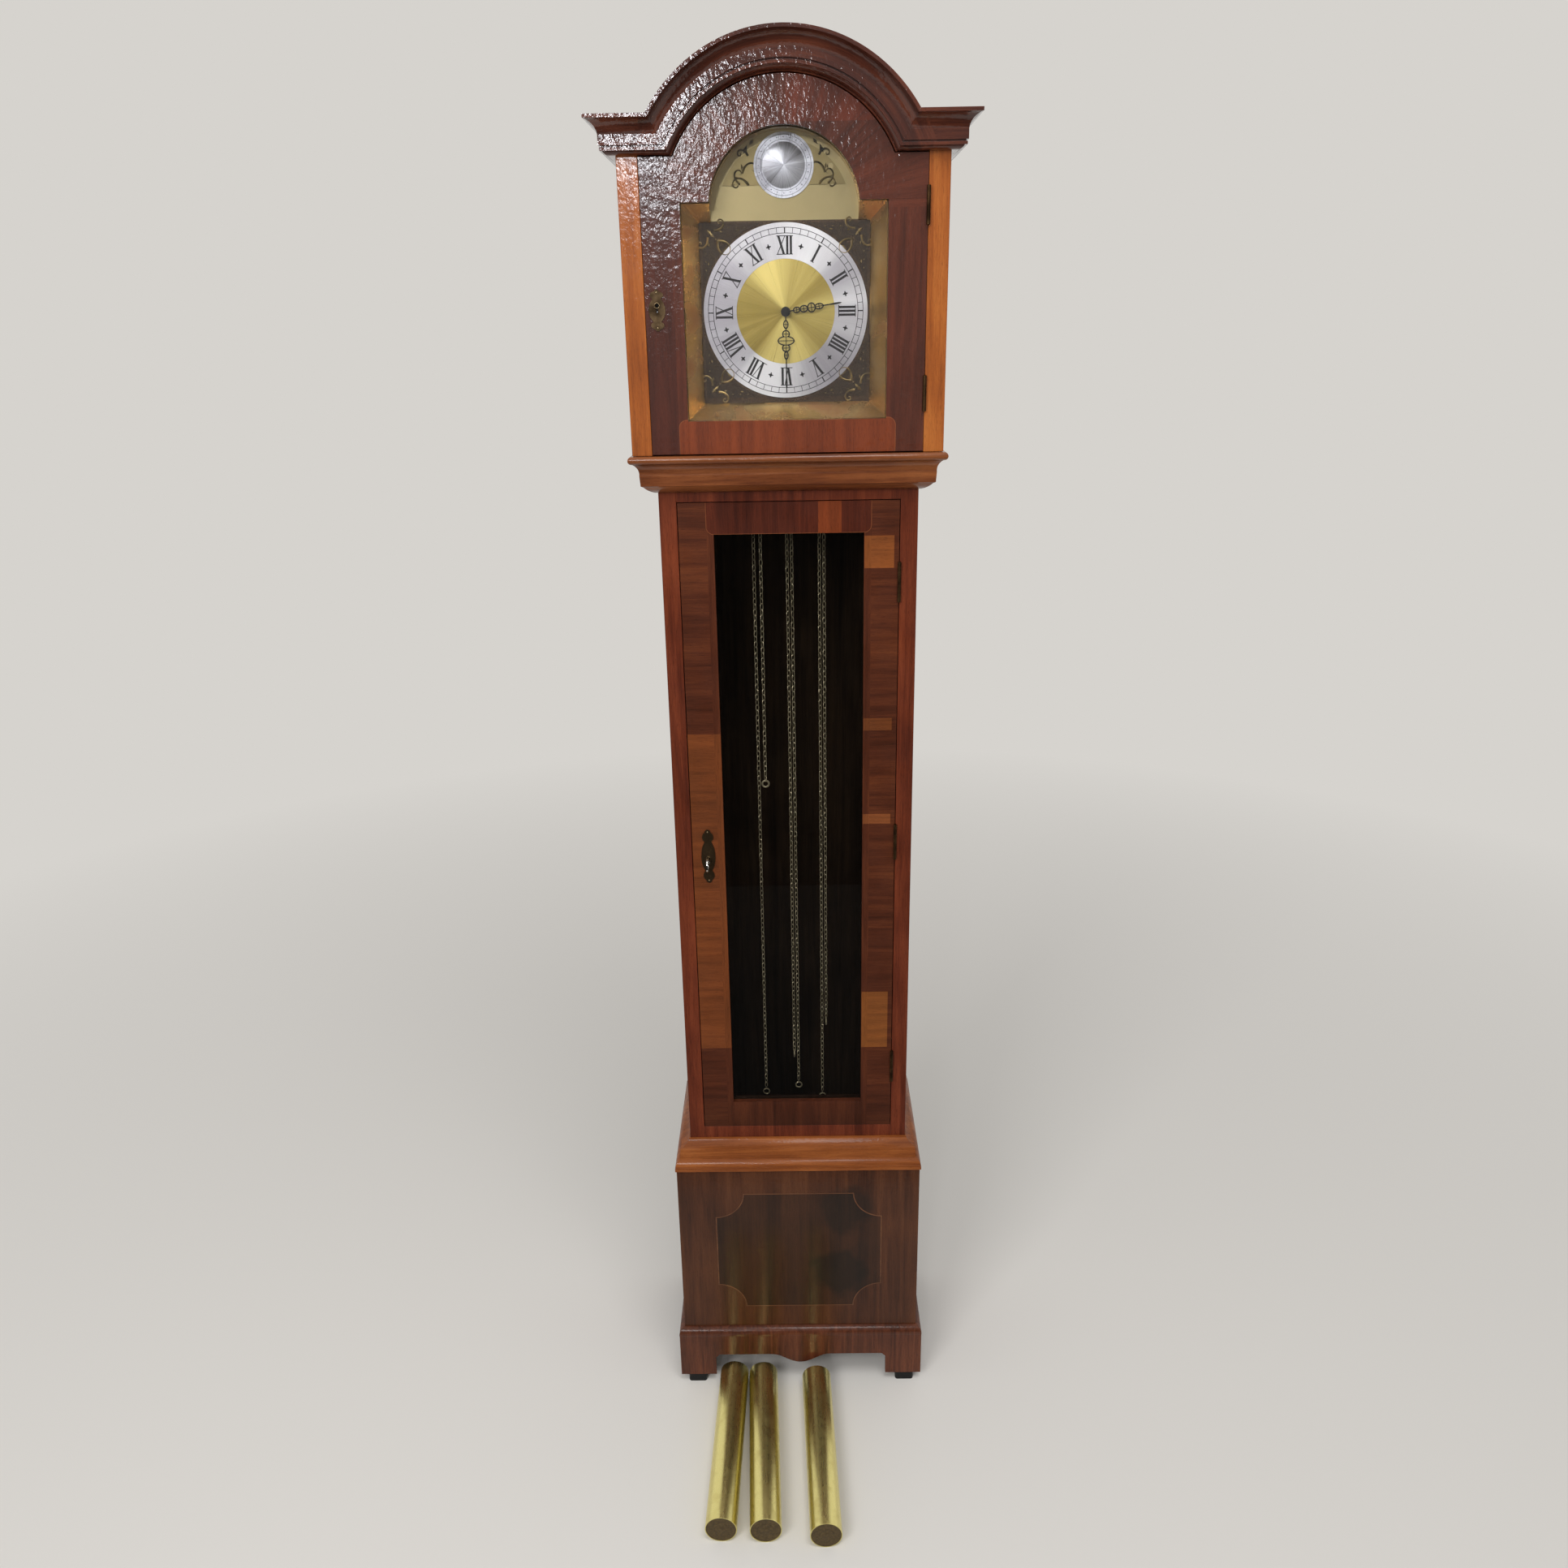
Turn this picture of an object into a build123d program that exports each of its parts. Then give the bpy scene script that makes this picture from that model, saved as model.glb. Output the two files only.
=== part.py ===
"""Longcase clock with an arched hood, three chains and three weights laid before its plinth.

Millimetres, +Z up, the dial facing -Y. The origin is on the floor, midway between the wall
plane behind the case and the front ends of the weights.
"""

import math
import os

from build123d import *

# Case, read from the photograph and scaled by the dial
base_width = 360.1
base_depth = 228.0
base_top = 394.5
base_bottom = 60.0
board_thickness = 16.0
trunk_return = 20.85
trunk_side_thickness = 14.0
trunk_side_foot = 330.0
trunk_frame_thickness = 18.0
trunk_frame_top = 1420.0
cheek_top = 1480.0
hood_return = 25.75
hood_bottom = 1423.6
hood_side_thickness = 14.0
hood_post_width = 24.0
hood_post_thickness = 20.0
arch_centre_z = 1688.0
backboard_thickness = 10.0
rebate_width = 6.0

# Joints and clearances
glue_line = 0.1
slide_gap = 0.3
door_gap = 0.5
seat_gap = 0.3
bearing_gap = 0.05
cut_over = 1.0

# Plinth and feet
plinth_projection = 8.35
plinth_top = 104.0
plinth_bead_height = 14.0
front_foot_inner = 133.0
side_foot_width = 43.0
foot_corner_radius = 6.0
apron_top = 54.0
apron_drop = 38.0
apron_drop_half_width = 47.0
side_drop_half_width = 28.0
glide_height = 15.0
glide_size = 28.0
glide_corner_radius = 4.0
glide_inset = 1.4
glide_x = 163.0
corner_block = 38.5
floor_board_bottom = 72.0
floor_board_thickness = 12.0

# Base moulding and the light line let into the base front
base_moulding_height = 45.0
base_moulding_lip = 1.9
base_moulding_bead = 5.0
base_moulding_quirk = 1.0
base_moulding_round = (15.5, 17.5)
base_moulding_round_sagitta = 2.2
base_moulding_flat = (14.0, 33.0)
base_moulding_shoulder = 42.5
base_moulding_shoulder_sagitta = 1.2
stringing_width = 1.6
stringing_depth = 0.6
stringing_half_width = 125.0
stringing_bottom = 141.5
stringing_top = 353.0
stringing_corner = 42.0

# Trunk door
trunk_door_half_width = 136.6
trunk_door_bottom = 458.9
trunk_door_top = 1364.9
trunk_glass_half_width = 93.2
trunk_glass_bottom = 500.0
trunk_glass_top = 1326.0
glass_thickness = 3.0
glass_rebate = 6.0
glass_lip = 8.0
trunk_keyhole_x = -115.5
trunk_keyhole_z = 890.0
trunk_lock_width = 30.0
hood_lock_width = 24.0
lock_height = 40.0
lock_depth = 11.0
lock_offset = 3.0
lock_plate = 1.5
bolt_height = 6.0
bolt_thickness = 4.0
bolt_rise = 11.0
bolt_throw = 7.0
bolt_length = 22.0

# Hood moulding under the hood, and the cornice
throat_bottom = 1378.0
throat_lip = 5.6
throat_bead = 9.5
throat_cove = (19.5, 22.0)
throat_cove_depth = 2.4
throat_face = (18.6, 9.5)
throat_fillet = (15.6, 8.0)
throat_foot_sagitta = 1.2
throat_foot_lip = 2.1
cornice_bottom = 1744.0
cornice_height = 38.0
cornice_inner_radius = 137.0
cornice_projection = 29.9
cornice_foot = 4.4
cornice_ovolo = (12.6, 4.0)
cornice_ovolo_round = 1.4
cornice_bead = (15.4, 7.2)
cornice_groove = (14.0, 9.0)
cornice_fascia = (16.4, 19.6)
cornice_cove = (26.9, 33.4)
cornice_cove_depth = 2.4
cornice_top_edge = 3.8
roof_thickness = 4.0
head_shadow_gap = 3.0

# Hood door
hood_door_thickness = 18.0
hood_door_bottom = 1425.0
hood_aperture_half_width = 116.5
hood_aperture_bottom = 1462.5
hood_aperture_shoulder = 1697.0
hood_aperture_radius = 85.0
hood_glass_thickness = 2.5
hood_keyhole_x = -147.0
hood_keyhole_z = 1590.5

# Dial
dial_setback = 42.0
dial_half_width = 100.0
dial_bottom = 1478.6
dial_top = 1680.0
dial_arch_radius = 88.0
dial_plate_thickness = 1.5
dial_centre_z = 1582.0
chapter_outer = 96.2
chapter_inner = 57.7
chapter_thickness = 1.5
dial_disc_thickness = 0.8
boss_z = 1737.0
boss_radius = 34.0
boss_thickness = 2.0
boss_dome_height = 3.0
spandrel_thickness = 1.2
spandrel_margin = 3.0
spandrel_piercings = [(0.80, 5.0), (0.92, 3.2)]
arch_spandrel_margin = 9.0
arch_spandrel_top = 20.4
arch_piercing_radius = 3.4
arch_piercing_reach = 52.7
arch_piercing_angles = [-2, 13, 143, 158]
mask_inset = 18.0
mask_wall = 1.0
mask_gap = 0.6

# Hands
minute_hand_length = 87.0
hour_hand_length = 66.0
hour_hand_angle = 82.0
hand_thickness = 1.0
hour_hand_standoff = 8.0
minute_hand_standoff = 12.5
hour_pipe_radius = 4.4
minute_pipe_radius = 3.0

# Movement
seatboard_thickness = 16.0
seatboard_rear = 105.0
plate_half_width = 65.0
plate_height = 154.0
plate_thickness = 3.0
back_plate_depth = 109.0
plate_spacing = 53.0
pillar_radius = 3.5
pillar_inset = 9.0
pivot_radius = 1.5
arbor_radius = 2.5
chain_spacing = 42.0
great_teeth = 96
great_module = 0.75
great_wheel_thickness = 2.5
time_wheel_inset = 4.0
side_wheel_inset = 12.0
pinion_leaves = 8
centre_teeth = 80
centre_module = 0.65
third_teeth = 72
third_module = 0.5
third_offset_x = 18.0
wheel_thickness = 2.0
pinion_thickness = 6.0
third_wheel_inset = 13.0
centre_wheel_inset = 33.0
escape_wheel_inset = 43.0
wheel_rim = 3.0
wheel_boss = 4.5
escape_teeth = 30
escape_radius = 14.0
escape_root_radius = 11.2
anchor_rise = 23.0
anchor_band = 4.0
anchor_arm_drop = 6.0
anchor_hub_radius = 3.2
crutch_width = 3.0
fork_wall = 2.0
fork_height = 3.0
crutch_length = 50.0
leader_end = 1360.0
leader_width = 4.0
leader_thickness = 2.0
leader_depth = 90.0
leader_hook_radius = 6.0
leader_hook_bore = 3.2
leader_hook_mouth = 3.0
suspension_thickness = 0.4
cock_half_width = 8.0
cock_reach = 5.0
motion_distance = 15.0
cannon_teeth = 12
minute_wheel_teeth = 36
minute_pinion_teeth = 10
hour_wheel_teeth = 40
motion_angle = 140.0
minute_stud_length = 10.5
cannon_standoff = 1.0
cannon_length = 5.0
minute_wheel_standoff = 2.5
hour_wheel_standoff = 8.0
arbor_end_reach = 3.0
hand_nut_wall = 0.8
hand_nut_height = 2.2
centre_arbor_radius = 2.0
suspension_length = 10.0
crutch_depth = 96.0
pallet_gap = 0.8
open_pinion_tip = -1.25
dial_foot_x = 58.0
dial_foot_drop = 68.0
dial_foot_radius = 3.0
hand_stem = 1.4
hand_tip_length = 16.0
hand_hub_radius = 5.5
minute_hand_angle = 180.0
minute_hand_loops = [
    (14.0, 5.0, 3.2), (24.5, 4.5, 4.6), (32.0, 5.5, 10.0), (40.0, 4.5, 5.0), (48.0, 5.0, 2.8),
]
hour_hand_loops = [(13.0, 4.5, 3.6), (21.5, 5.0, 4.2), (30.5, 5.0, 5.6), (39.5, 5.5, 3.6)]

# Chains, hooks and rings
chain_width = 5.6
sprocket_radius = 12.0
sprocket_flange = 3.0
sprocket_flange_thickness = 1.5
sprocket_side_gap = 0.7
sprocket_core_gap = 0.6
chain_depth = 135.0
hook_strand_ends = {"left": 978.0, "middle": 544.0, "right": 599.0}
free_strand_ends = {"left": 477.0, "middle": 488.0, "right": 468.0}
strand_offsets = {"left": (-4.5, 4.5), "middle": (3.0, -3.0), "right": (-3.0, 3.0)}
chain_lean_start = 4.0
chain_lean_height = 30.0
chain_bend_radius = 25.0
hook_radius = 4.6
facing_viewer = (90, 0, 0)
edge_on = (0, 90, 0)
hook_turns = {"left": facing_viewer, "middle": edge_on, "right": edge_on}
hook_wire = 1.3
end_ring_radius = 4.5
end_ring_wire = 1.0
fitting_neck = 1.0

# Chime rods
rod_radius = 1.5
rod_lengths = [150.0, 141.0, 133.0, 125.0, 118.0]
rod_spacing = 14.0
rod_block_z = 1600.0
rod_block_height = 16.0
rod_block_depth = 20.0

# Weights, each lying on the floor: x of its rear end, distance from the wall, turn in plan
weight_radius = 22.0
weight_length = 272.0
weight_wall = 1.0
weight_cap_recess = 1.5
weight_eye_radius = 6.0
weight_eye_wire = 1.5
weight_nut_radius = 3.5
weight_eye_neck = 2.5
weight_rests = {"left": (-104.0, 240.0, -1.7), "middle": (-59.0, 242.0, 1.8), "right": (24.0, 250.0, 1.7)}

# Locks, key and key plates
keyhole_radius = 2.2
keyhole_drop = 8.0
key_shank_radius = 1.6
key_shank_length = 16.0
key_collar_radius = 3.0
key_collar_width = 2.0
key_collar_inset = 4.0
key_bit_height = 5.5
key_bit_thickness = 1.4
key_bow_length = 17.0
key_bow_height = 19.0
key_bow_thickness = 2.0
key_bow_wire = 2.1
key_bow_seat = 1.0
escutcheon_width = 19.0
escutcheon_thickness = 1.2
escutcheon_shift = 3.5
trunk_escutcheon_height = 78.0
hood_escutcheon_height = 45.0
hood_escutcheon_drop = 5.3

# Hood sill, rear arch and the sheet of the dial surround
hood_sill_height = 14.0
hood_sill_thickness = 17.0
rear_arch_front = 23.0
mask_sheet = 1.0
mask_arch_margin = 14.0

# Hinges
knuckle_radius = 2.2
hinge_pin_radius = 1.0
leaf_thickness = 1.2
leaf_width = 14.0
hinge_standoff = 2.6
hinge_leaf_inset = 0.4
trunk_hinge_heights = [560.0, 912.0, 1264.0]
trunk_hinge_length = 50.0
hood_hinge_heights = [1490.0, 1690.0]
hood_hinge_length = 40.0

# Screws of the backboard
screw_radius = 2.0
screw_length = 28.0
screw_head_radius = 2.8
screw_head_height = 2.5
trunk_screw_heights = [480.0, 730.0, 980.0, 1230.0, 1440.0]
base_screw_heights = [110.0, 240.0, 360.0]

# Sizes that follow from the ones above
base_half = base_width / 2
trunk_half = base_half - trunk_return
trunk_depth = base_depth - trunk_return
hood_half = trunk_half + hood_return
hood_depth = trunk_depth + hood_return
weight_reach = max(
    rear + weight_length * math.cos(math.radians(turn)) + weight_radius * math.sin(math.radians(abs(turn)))
    for _, rear, turn in weight_rests.values()
)
back_y = weight_reach / 2
glue_half = glue_line / 2


def at_depth(depth):
    """The y of a plane this far in front of the wall."""
    return back_y - depth


def face_at(depth):
    """A plane facing the viewer this far in front of the wall, its x to the right and its y up."""
    return Plane.XZ.offset(depth - back_y)


def board(x_span, depth_span, z_span, mode=Mode.ADD):
    """A square-edged board given by its spans across, out from the wall and up."""
    middle = (sum(x_span) / 2, at_depth(sum(depth_span) / 2), sum(z_span) / 2)
    with Locations(middle):
        Box(
            x_span[1] - x_span[0],
            depth_span[1] - depth_span[0],
            z_span[1] - z_span[0],
            mode=mode,
        )


def board_pair(inner, outer, depth_span, z_span, mode=Mode.ADD):
    """Two boards, left and right, between these distances from the middle."""
    board((inner, outer), depth_span, z_span, mode)
    board((-outer, -inner), depth_span, z_span, mode)


def bar(start, end, radius, mode=Mode.ADD):
    """A round bar between two (x, depth, z) points."""
    first = Vector(start[0], at_depth(start[1]), start[2])
    last = Vector(end[0], at_depth(end[1]), end[2])
    with BuildSketch(Plane(origin=first, z_dir=last - first)) as section:
        Circle(radius)
    extrude(section.sketch, amount=(last - first).length, mode=mode)


def disc(x, z, radius, depth_span, mode=Mode.ADD):
    """A disc facing the viewer."""
    bar((x, depth_span[0], z), (x, depth_span[1], z), radius, mode)


def save(name, builder):
    """Label a finished piece and write it under its own name."""
    builder.part.label = name
    export_step(builder.part, f"parts/{name}.step")


def mitred_lengths(section, half_width, depth, bottom):
    """The front length and two returns of one moulding, mitred at the front corners.

    The section's x runs outwards from the faces of the body and its y up from the bottom.
    """
    reach = section.bounding_box().max.X
    top = section.bounding_box().max.Y
    outer_x, outer_y = half_width + reach, at_depth(depth + reach)
    inner_y = at_depth(depth)
    across = Plane(origin=(0, inner_y, bottom), x_dir=(0, -1, 0), z_dir=(-1, 0, 0))
    along = Plane(origin=(half_width, back_y, bottom), x_dir=(1, 0, 0), z_dir=(0, -1, 0))
    with BuildPart() as front:
        with BuildSketch(across):
            add(section)
        extrude(amount=outer_x, both=True)
        with BuildSketch(Plane.XY.offset(bottom)):
            Polygon(
                (-outer_x, outer_y), (outer_x, outer_y), (half_width, inner_y), (-half_width, inner_y),
                align=None,
            )
        extrude(amount=top, mode=Mode.INTERSECT)
    with BuildPart() as side:
        with BuildSketch(along):
            add(section)
        extrude(amount=back_y - outer_y)
        with BuildSketch(Plane.XY.offset(bottom)):
            Polygon(
                (half_width, back_y), (half_width, inner_y + glue_line),
                (outer_x, outer_y + glue_line), (outer_x, back_y),
                align=None,
            )
        extrude(amount=top, mode=Mode.INTERSECT)
    return [front.part, side.part, mirror(side.part, about=Plane.YZ)]


def keyhole(x, z, depth_span):
    """Cut a keyhole right through a plate or a board."""
    with BuildSketch(face_at(depth_span[0])) as opening:
        with Locations((x, z)):
            Circle(keyhole_radius)
        with Locations((x, z - keyhole_drop / 2)):
            Rectangle(keyhole_radius, keyhole_drop)
    extrude(opening.sketch, amount=depth_span[1] - depth_span[0], mode=Mode.SUBTRACT)


def lock_pocket(x, z, rear, width):
    """Cut the pocket for a lock into the back of a stile."""
    board(
        (x - width / 2, x + width / 2), (rear, rear + lock_depth),
        (z - lock_height / 2 + lock_offset, z + lock_height / 2 + lock_offset), Mode.SUBTRACT,
    )


def lock_body(x, z, rear, width):
    """A lock case in its pocket, hollow round the key."""
    board(
        (x - width / 2, x + width / 2), (rear, rear + lock_depth),
        (z - lock_height / 2 + lock_offset, z + lock_height / 2 + lock_offset),
    )
    disc(x, z, key_bit_height + slide_gap, (rear + lock_plate, rear + lock_depth), Mode.SUBTRACT)


def escutcheon_outline(x, z, height):
    """Inside an open sketch, draw a scalloped key plate with a shield middle and two lobes."""
    with Locations((x, z)):
        Ellipse(escutcheon_width / 2, height * 0.3)
        Rectangle(escutcheon_width * 0.5, height * 0.86)
    for side in (-1, 1):
        with Locations((x, z + side * height * 0.36)):
            Ellipse(escutcheon_width * 0.4, height * 0.1)
        with Locations((x, z + side * height * 0.45)):
            Circle(height * 0.05)


def toothed_outline(teeth, module, phase=0.0, tip=0.8, root=1.3, width=0.42):
    """The outline of a wheel with straight-sided teeth, one tooth pointing at the phase angle."""
    pitch_radius = teeth * module / 2
    tip_radius = pitch_radius + tip * module
    root_radius = pitch_radius - root * module
    step = 360 / teeth
    corners = []
    for tooth in range(teeth):
        middle = phase + tooth * step
        for radius, turn in (
            (root_radius, -0.32 * step), (tip_radius, -0.13 * step),
            (tip_radius, 0.13 * step), (root_radius, 0.32 * step),
        ):
            angle = math.radians(middle + turn * width / 0.42)
            corners.append((radius * math.cos(angle), radius * math.sin(angle)))
    return corners


def toothed_wheel(x, z, depth_span, outline):
    """A toothed wheel facing the viewer, centred on its arbor."""
    with BuildSketch(face_at(depth_span[0])) as rim:
        with BuildLine():
            Polyline(*[(x + px, z + pz) for px, pz in outline], close=True)
        make_face()
    extrude(rim.sketch, amount=depth_span[1] - depth_span[0])


def crossings(x, z, depth_span, inner, outer, spokes):
    """Cut the openings between a wheel's spokes."""
    rim_radius = (inner + outer) / 2
    with BuildSketch(face_at(depth_span[0])) as openings:
        with Locations((x, z)):
            Circle(outer)
            Circle(inner, mode=Mode.SUBTRACT)
        for spoke in range(spokes):
            with Locations(Location((x, z), 360 / spokes * spoke)):
                Rectangle(2 * outer, 0.16 * rim_radius, mode=Mode.SUBTRACT)
    extrude(openings.sketch, amount=depth_span[1] - depth_span[0], mode=Mode.SUBTRACT)


os.makedirs("parts", exist_ok=True)

# Feet and plinth
with BuildPart() as foot_glides:
    front_glide = base_depth + plinth_projection - glide_inset
    for depth in ((front_glide - glide_size, front_glide), (glide_inset, glide_inset + glide_size)):
        board_pair(glide_x - glide_size / 2, glide_x + glide_size / 2, depth, (0, glide_height))
    fillet(foot_glides.edges().filter_by(Axis.Z), radius=glide_corner_radius)
save("foot_glides", foot_glides)

with BuildSketch() as plinth_section:
    with BuildLine():
        Polyline(
            (0, plinth_top), (0, glide_height), (plinth_projection, glide_height),
            (plinth_projection, plinth_top - plinth_bead_height),
        )
        ThreePointArc(
            (plinth_projection, plinth_top - plinth_bead_height),
            (plinth_projection * 0.8, plinth_top - plinth_bead_height * 0.35),
            (0, plinth_top),
        )
    make_face()


def apron_cut(half_width, middle, foot, drop_half_width, plane, reach):
    """Cut the arched apron out of a plinth board, leaving its feet and centre drop."""
    left = middle - half_width + foot
    right = middle + half_width - foot
    with BuildSketch(plane) as opening:
        with BuildLine():
            Polyline(
                (middle - drop_half_width, apron_top),
                (left + foot_corner_radius, apron_top),
                (left, apron_top - foot_corner_radius),
                (left, glide_height - cut_over),
                (right, glide_height - cut_over),
                (right, apron_top - foot_corner_radius),
                (right - foot_corner_radius, apron_top),
                (middle + drop_half_width, apron_top),
            )
            Spline(
                (middle + drop_half_width, apron_top),
                (middle + drop_half_width * 0.5, (apron_top + apron_drop) / 2),
                (middle, apron_drop),
                (middle - drop_half_width * 0.5, (apron_top + apron_drop) / 2),
                (middle - drop_half_width, apron_top),
                tangents=[(-1, 0), (-1, 0)],
            )
        make_face()
    extrude(opening.sketch, amount=reach, both=True, mode=Mode.SUBTRACT)


plinth_half = base_half + plinth_projection
plinth_lengths = mitred_lengths(plinth_section.sketch, base_half, base_depth, 0)
with BuildPart() as plinth_front_board:
    add(plinth_lengths[0])
    apron_cut(
        plinth_half, 0, plinth_half - front_foot_inner, apron_drop_half_width,
        face_at(base_depth), plinth_projection * 2,
    )
with BuildPart() as plinth_side_board:
    add(plinth_lengths[1])
    apron_cut(
        base_depth / 2, 0, side_foot_width, side_drop_half_width,
        Plane(origin=(base_half, at_depth(base_depth / 2), 0), x_dir=(0, 1, 0), z_dir=(1, 0, 0)),
        plinth_projection * 2,
    )
with BuildPart() as plinth:
    add(plinth_front_board.part)
    add(plinth_side_board.part)
    add(mirror(plinth_side_board.part, about=Plane.YZ))
save("plinth", plinth)

# Base box
base_sides_front = base_depth - board_thickness
with BuildPart() as base_floor:
    board(
        (-base_half + board_thickness, base_half - board_thickness),
        (backboard_thickness, base_sides_front),
        (floor_board_bottom, floor_board_bottom + floor_board_thickness),
    )
    for depth in ((base_depth - corner_block, base_depth), (0, corner_block)):
        board_pair(base_half - corner_block, base_half, depth, (glide_height, base_bottom))
save("base_floor", base_floor)

with BuildPart() as base_front:
    board((-base_half, base_half), (base_sides_front, base_depth), (base_bottom, base_top))
    with BuildSketch(face_at(base_depth)) as stringing_outline:
        with Locations((0, (stringing_bottom + stringing_top) / 2)):
            Rectangle(2 * stringing_half_width, stringing_top - stringing_bottom)
            with GridLocations(2 * stringing_half_width, stringing_top - stringing_bottom, 2, 2):
                Circle(stringing_corner, mode=Mode.SUBTRACT)
        offset(amount=-stringing_width, mode=Mode.SUBTRACT, kind=Kind.INTERSECTION)
    extrude(amount=-stringing_depth, mode=Mode.SUBTRACT)
save("base_front", base_front)

with BuildPart() as base_stringing:
    with BuildSketch(face_at(base_depth)):
        add(stringing_outline.sketch)
    extrude(amount=-stringing_depth)
save("base_stringing", base_stringing)

# Backboard screws: (x, z) of each shank, through the backboard into the sides
trunk_screw_x = trunk_half - trunk_side_thickness + rebate_width / 2
base_screw_x = base_half - board_thickness + rebate_width / 2
screw_places = [(side * trunk_screw_x, z) for side in (-1, 1) for z in trunk_screw_heights]
screw_places += [(side * base_screw_x, z) for side in (-1, 1) for z in base_screw_heights]


def screw_shanks(mode=Mode.ADD):
    """The shanks of all backboard screws."""
    for x, z in screw_places:
        disc(x, z, screw_radius, (0, screw_length), mode)


def screw_heads(mode=Mode.ADD):
    """The heads of all backboard screws, let in flush."""
    for x, z in screw_places:
        disc(x, z, screw_head_radius, (0, screw_head_height), mode)


base_backboard_half = base_half - board_thickness + rebate_width
trunk_backboard_half = trunk_half - trunk_side_thickness + rebate_width
with BuildPart() as base_sides:
    board_pair(base_half - board_thickness, base_half, (0, base_sides_front), (base_bottom, base_top))
    board_pair(
        base_half - board_thickness, base_backboard_half, (0, backboard_thickness),
        (base_bottom, base_top), Mode.SUBTRACT,
    )
    screw_shanks(Mode.SUBTRACT)
save("base_sides", base_sides)

with BuildSketch() as base_moulding_section:
    with BuildLine():
        lip = trunk_return + base_moulding_lip
        round_foot = (lip - base_moulding_quirk, base_moulding_bead)
        shoulder = (base_moulding_lip, base_moulding_shoulder)
        Polyline((0, 0), (lip, 0), (lip, base_moulding_bead), round_foot)
        SagittaArc(round_foot, base_moulding_round, -base_moulding_round_sagitta)
        Line(base_moulding_round, base_moulding_flat)
        SagittaArc(base_moulding_flat, shoulder, base_moulding_shoulder_sagitta)
        Polyline(
            shoulder, (base_moulding_lip, base_moulding_height),
            (0, base_moulding_height), (0, 0),
        )
    make_face()
with BuildPart() as base_moulding:
    add(mitred_lengths(base_moulding_section.sketch, trunk_half, trunk_depth, base_top))
save("base_moulding", base_moulding)

# Trunk
trunk_frame_rear = trunk_depth - trunk_frame_thickness
trunk_opening_half = trunk_door_half_width + 2 * door_gap
bolt_z = trunk_keyhole_z + bolt_rise
bolt_depth = trunk_frame_rear + lock_depth / 2
with BuildPart() as trunk_sides:
    board_pair(
        trunk_half - trunk_side_thickness, trunk_half, (0, trunk_frame_rear),
        (trunk_side_foot, cheek_top),
    )
    board_pair(
        trunk_half - trunk_side_thickness, trunk_backboard_half, (0, backboard_thickness),
        (trunk_side_foot, cheek_top), Mode.SUBTRACT,
    )
    board_pair(
        trunk_half - trunk_side_thickness, trunk_half, (0, backboard_thickness),
        (trunk_side_foot, base_top), Mode.SUBTRACT,
    )
    screw_shanks(Mode.SUBTRACT)
save("trunk_sides", trunk_sides)

with BuildPart() as trunk_front_frame:
    frame_depth = (trunk_frame_rear, trunk_depth)
    board_pair(trunk_opening_half, trunk_half, frame_depth, (trunk_side_foot, trunk_frame_top))
    rail_half = trunk_opening_half - glue_line
    board((-rail_half, rail_half), frame_depth, (trunk_door_top + 2 * door_gap, trunk_frame_top))
    board((-rail_half, rail_half), frame_depth, (trunk_side_foot, trunk_door_bottom - door_gap))
    mortise = bolt_throw + door_gap
    board(
        (-trunk_opening_half - mortise, -trunk_opening_half),
        (bolt_depth - bolt_thickness / 2 - door_gap, bolt_depth + bolt_thickness / 2 + door_gap),
        (bolt_z - bolt_height / 2 - door_gap, bolt_z + bolt_height / 2 + door_gap),
        Mode.SUBTRACT,
    )
    for z in trunk_hinge_heights:
        board(
            (trunk_opening_half, trunk_opening_half + leaf_thickness),
            (trunk_depth - leaf_width, trunk_depth),
            (z - trunk_hinge_length / 2, z + trunk_hinge_length / 2),
            Mode.SUBTRACT,
        )
save("trunk_front_frame", trunk_front_frame)

throat_height = hood_bottom - slide_gap - throat_bottom
with BuildSketch() as throat_section:
    with BuildLine():
        bead_back = hood_return + throat_lip - throat_bead / 2
        bead_low = throat_height - throat_bead
        Line((0, throat_height), (bead_back, throat_height))
        ThreePointArc(
            (bead_back, throat_height), (bead_back + throat_bead / 2, throat_height - throat_bead / 2),
            (bead_back, bead_low),
        )
        SagittaArc((bead_back, bead_low), throat_cove, -throat_cove_depth)
        Polyline(throat_cove, throat_face, throat_fillet)
        SagittaArc(throat_fillet, (throat_foot_lip, 0), throat_foot_sagitta)
        Polyline((throat_foot_lip, 0), (0, 0), (0, throat_height))
    make_face()
with BuildPart() as throat_moulding:
    add(mitred_lengths(throat_section.sketch, trunk_half, trunk_depth, throat_bottom))
save("throat_moulding", throat_moulding)

# Roof outline of the hood, seen from the front: flat wings and an arch
wing_roof_z = cornice_bottom + cornice_height - roof_thickness
arch_roof_radius = cornice_inner_radius + cornice_height - roof_thickness / 2


def roof_outline(half_width, wing_z, radius, foot_z):
    """Inside an open sketch, draw the flat-winged arch down to this height."""
    with Locations((0, arch_centre_z)):
        Circle(radius)
    with Locations((0, arch_centre_z - radius)):
        Rectangle(4 * radius, 2 * (wing_z - arch_centre_z + radius), mode=Mode.SUBTRACT)
    with Locations((0, (wing_z + foot_z) / 2)):
        Rectangle(2 * half_width, wing_z - foot_z)


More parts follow.
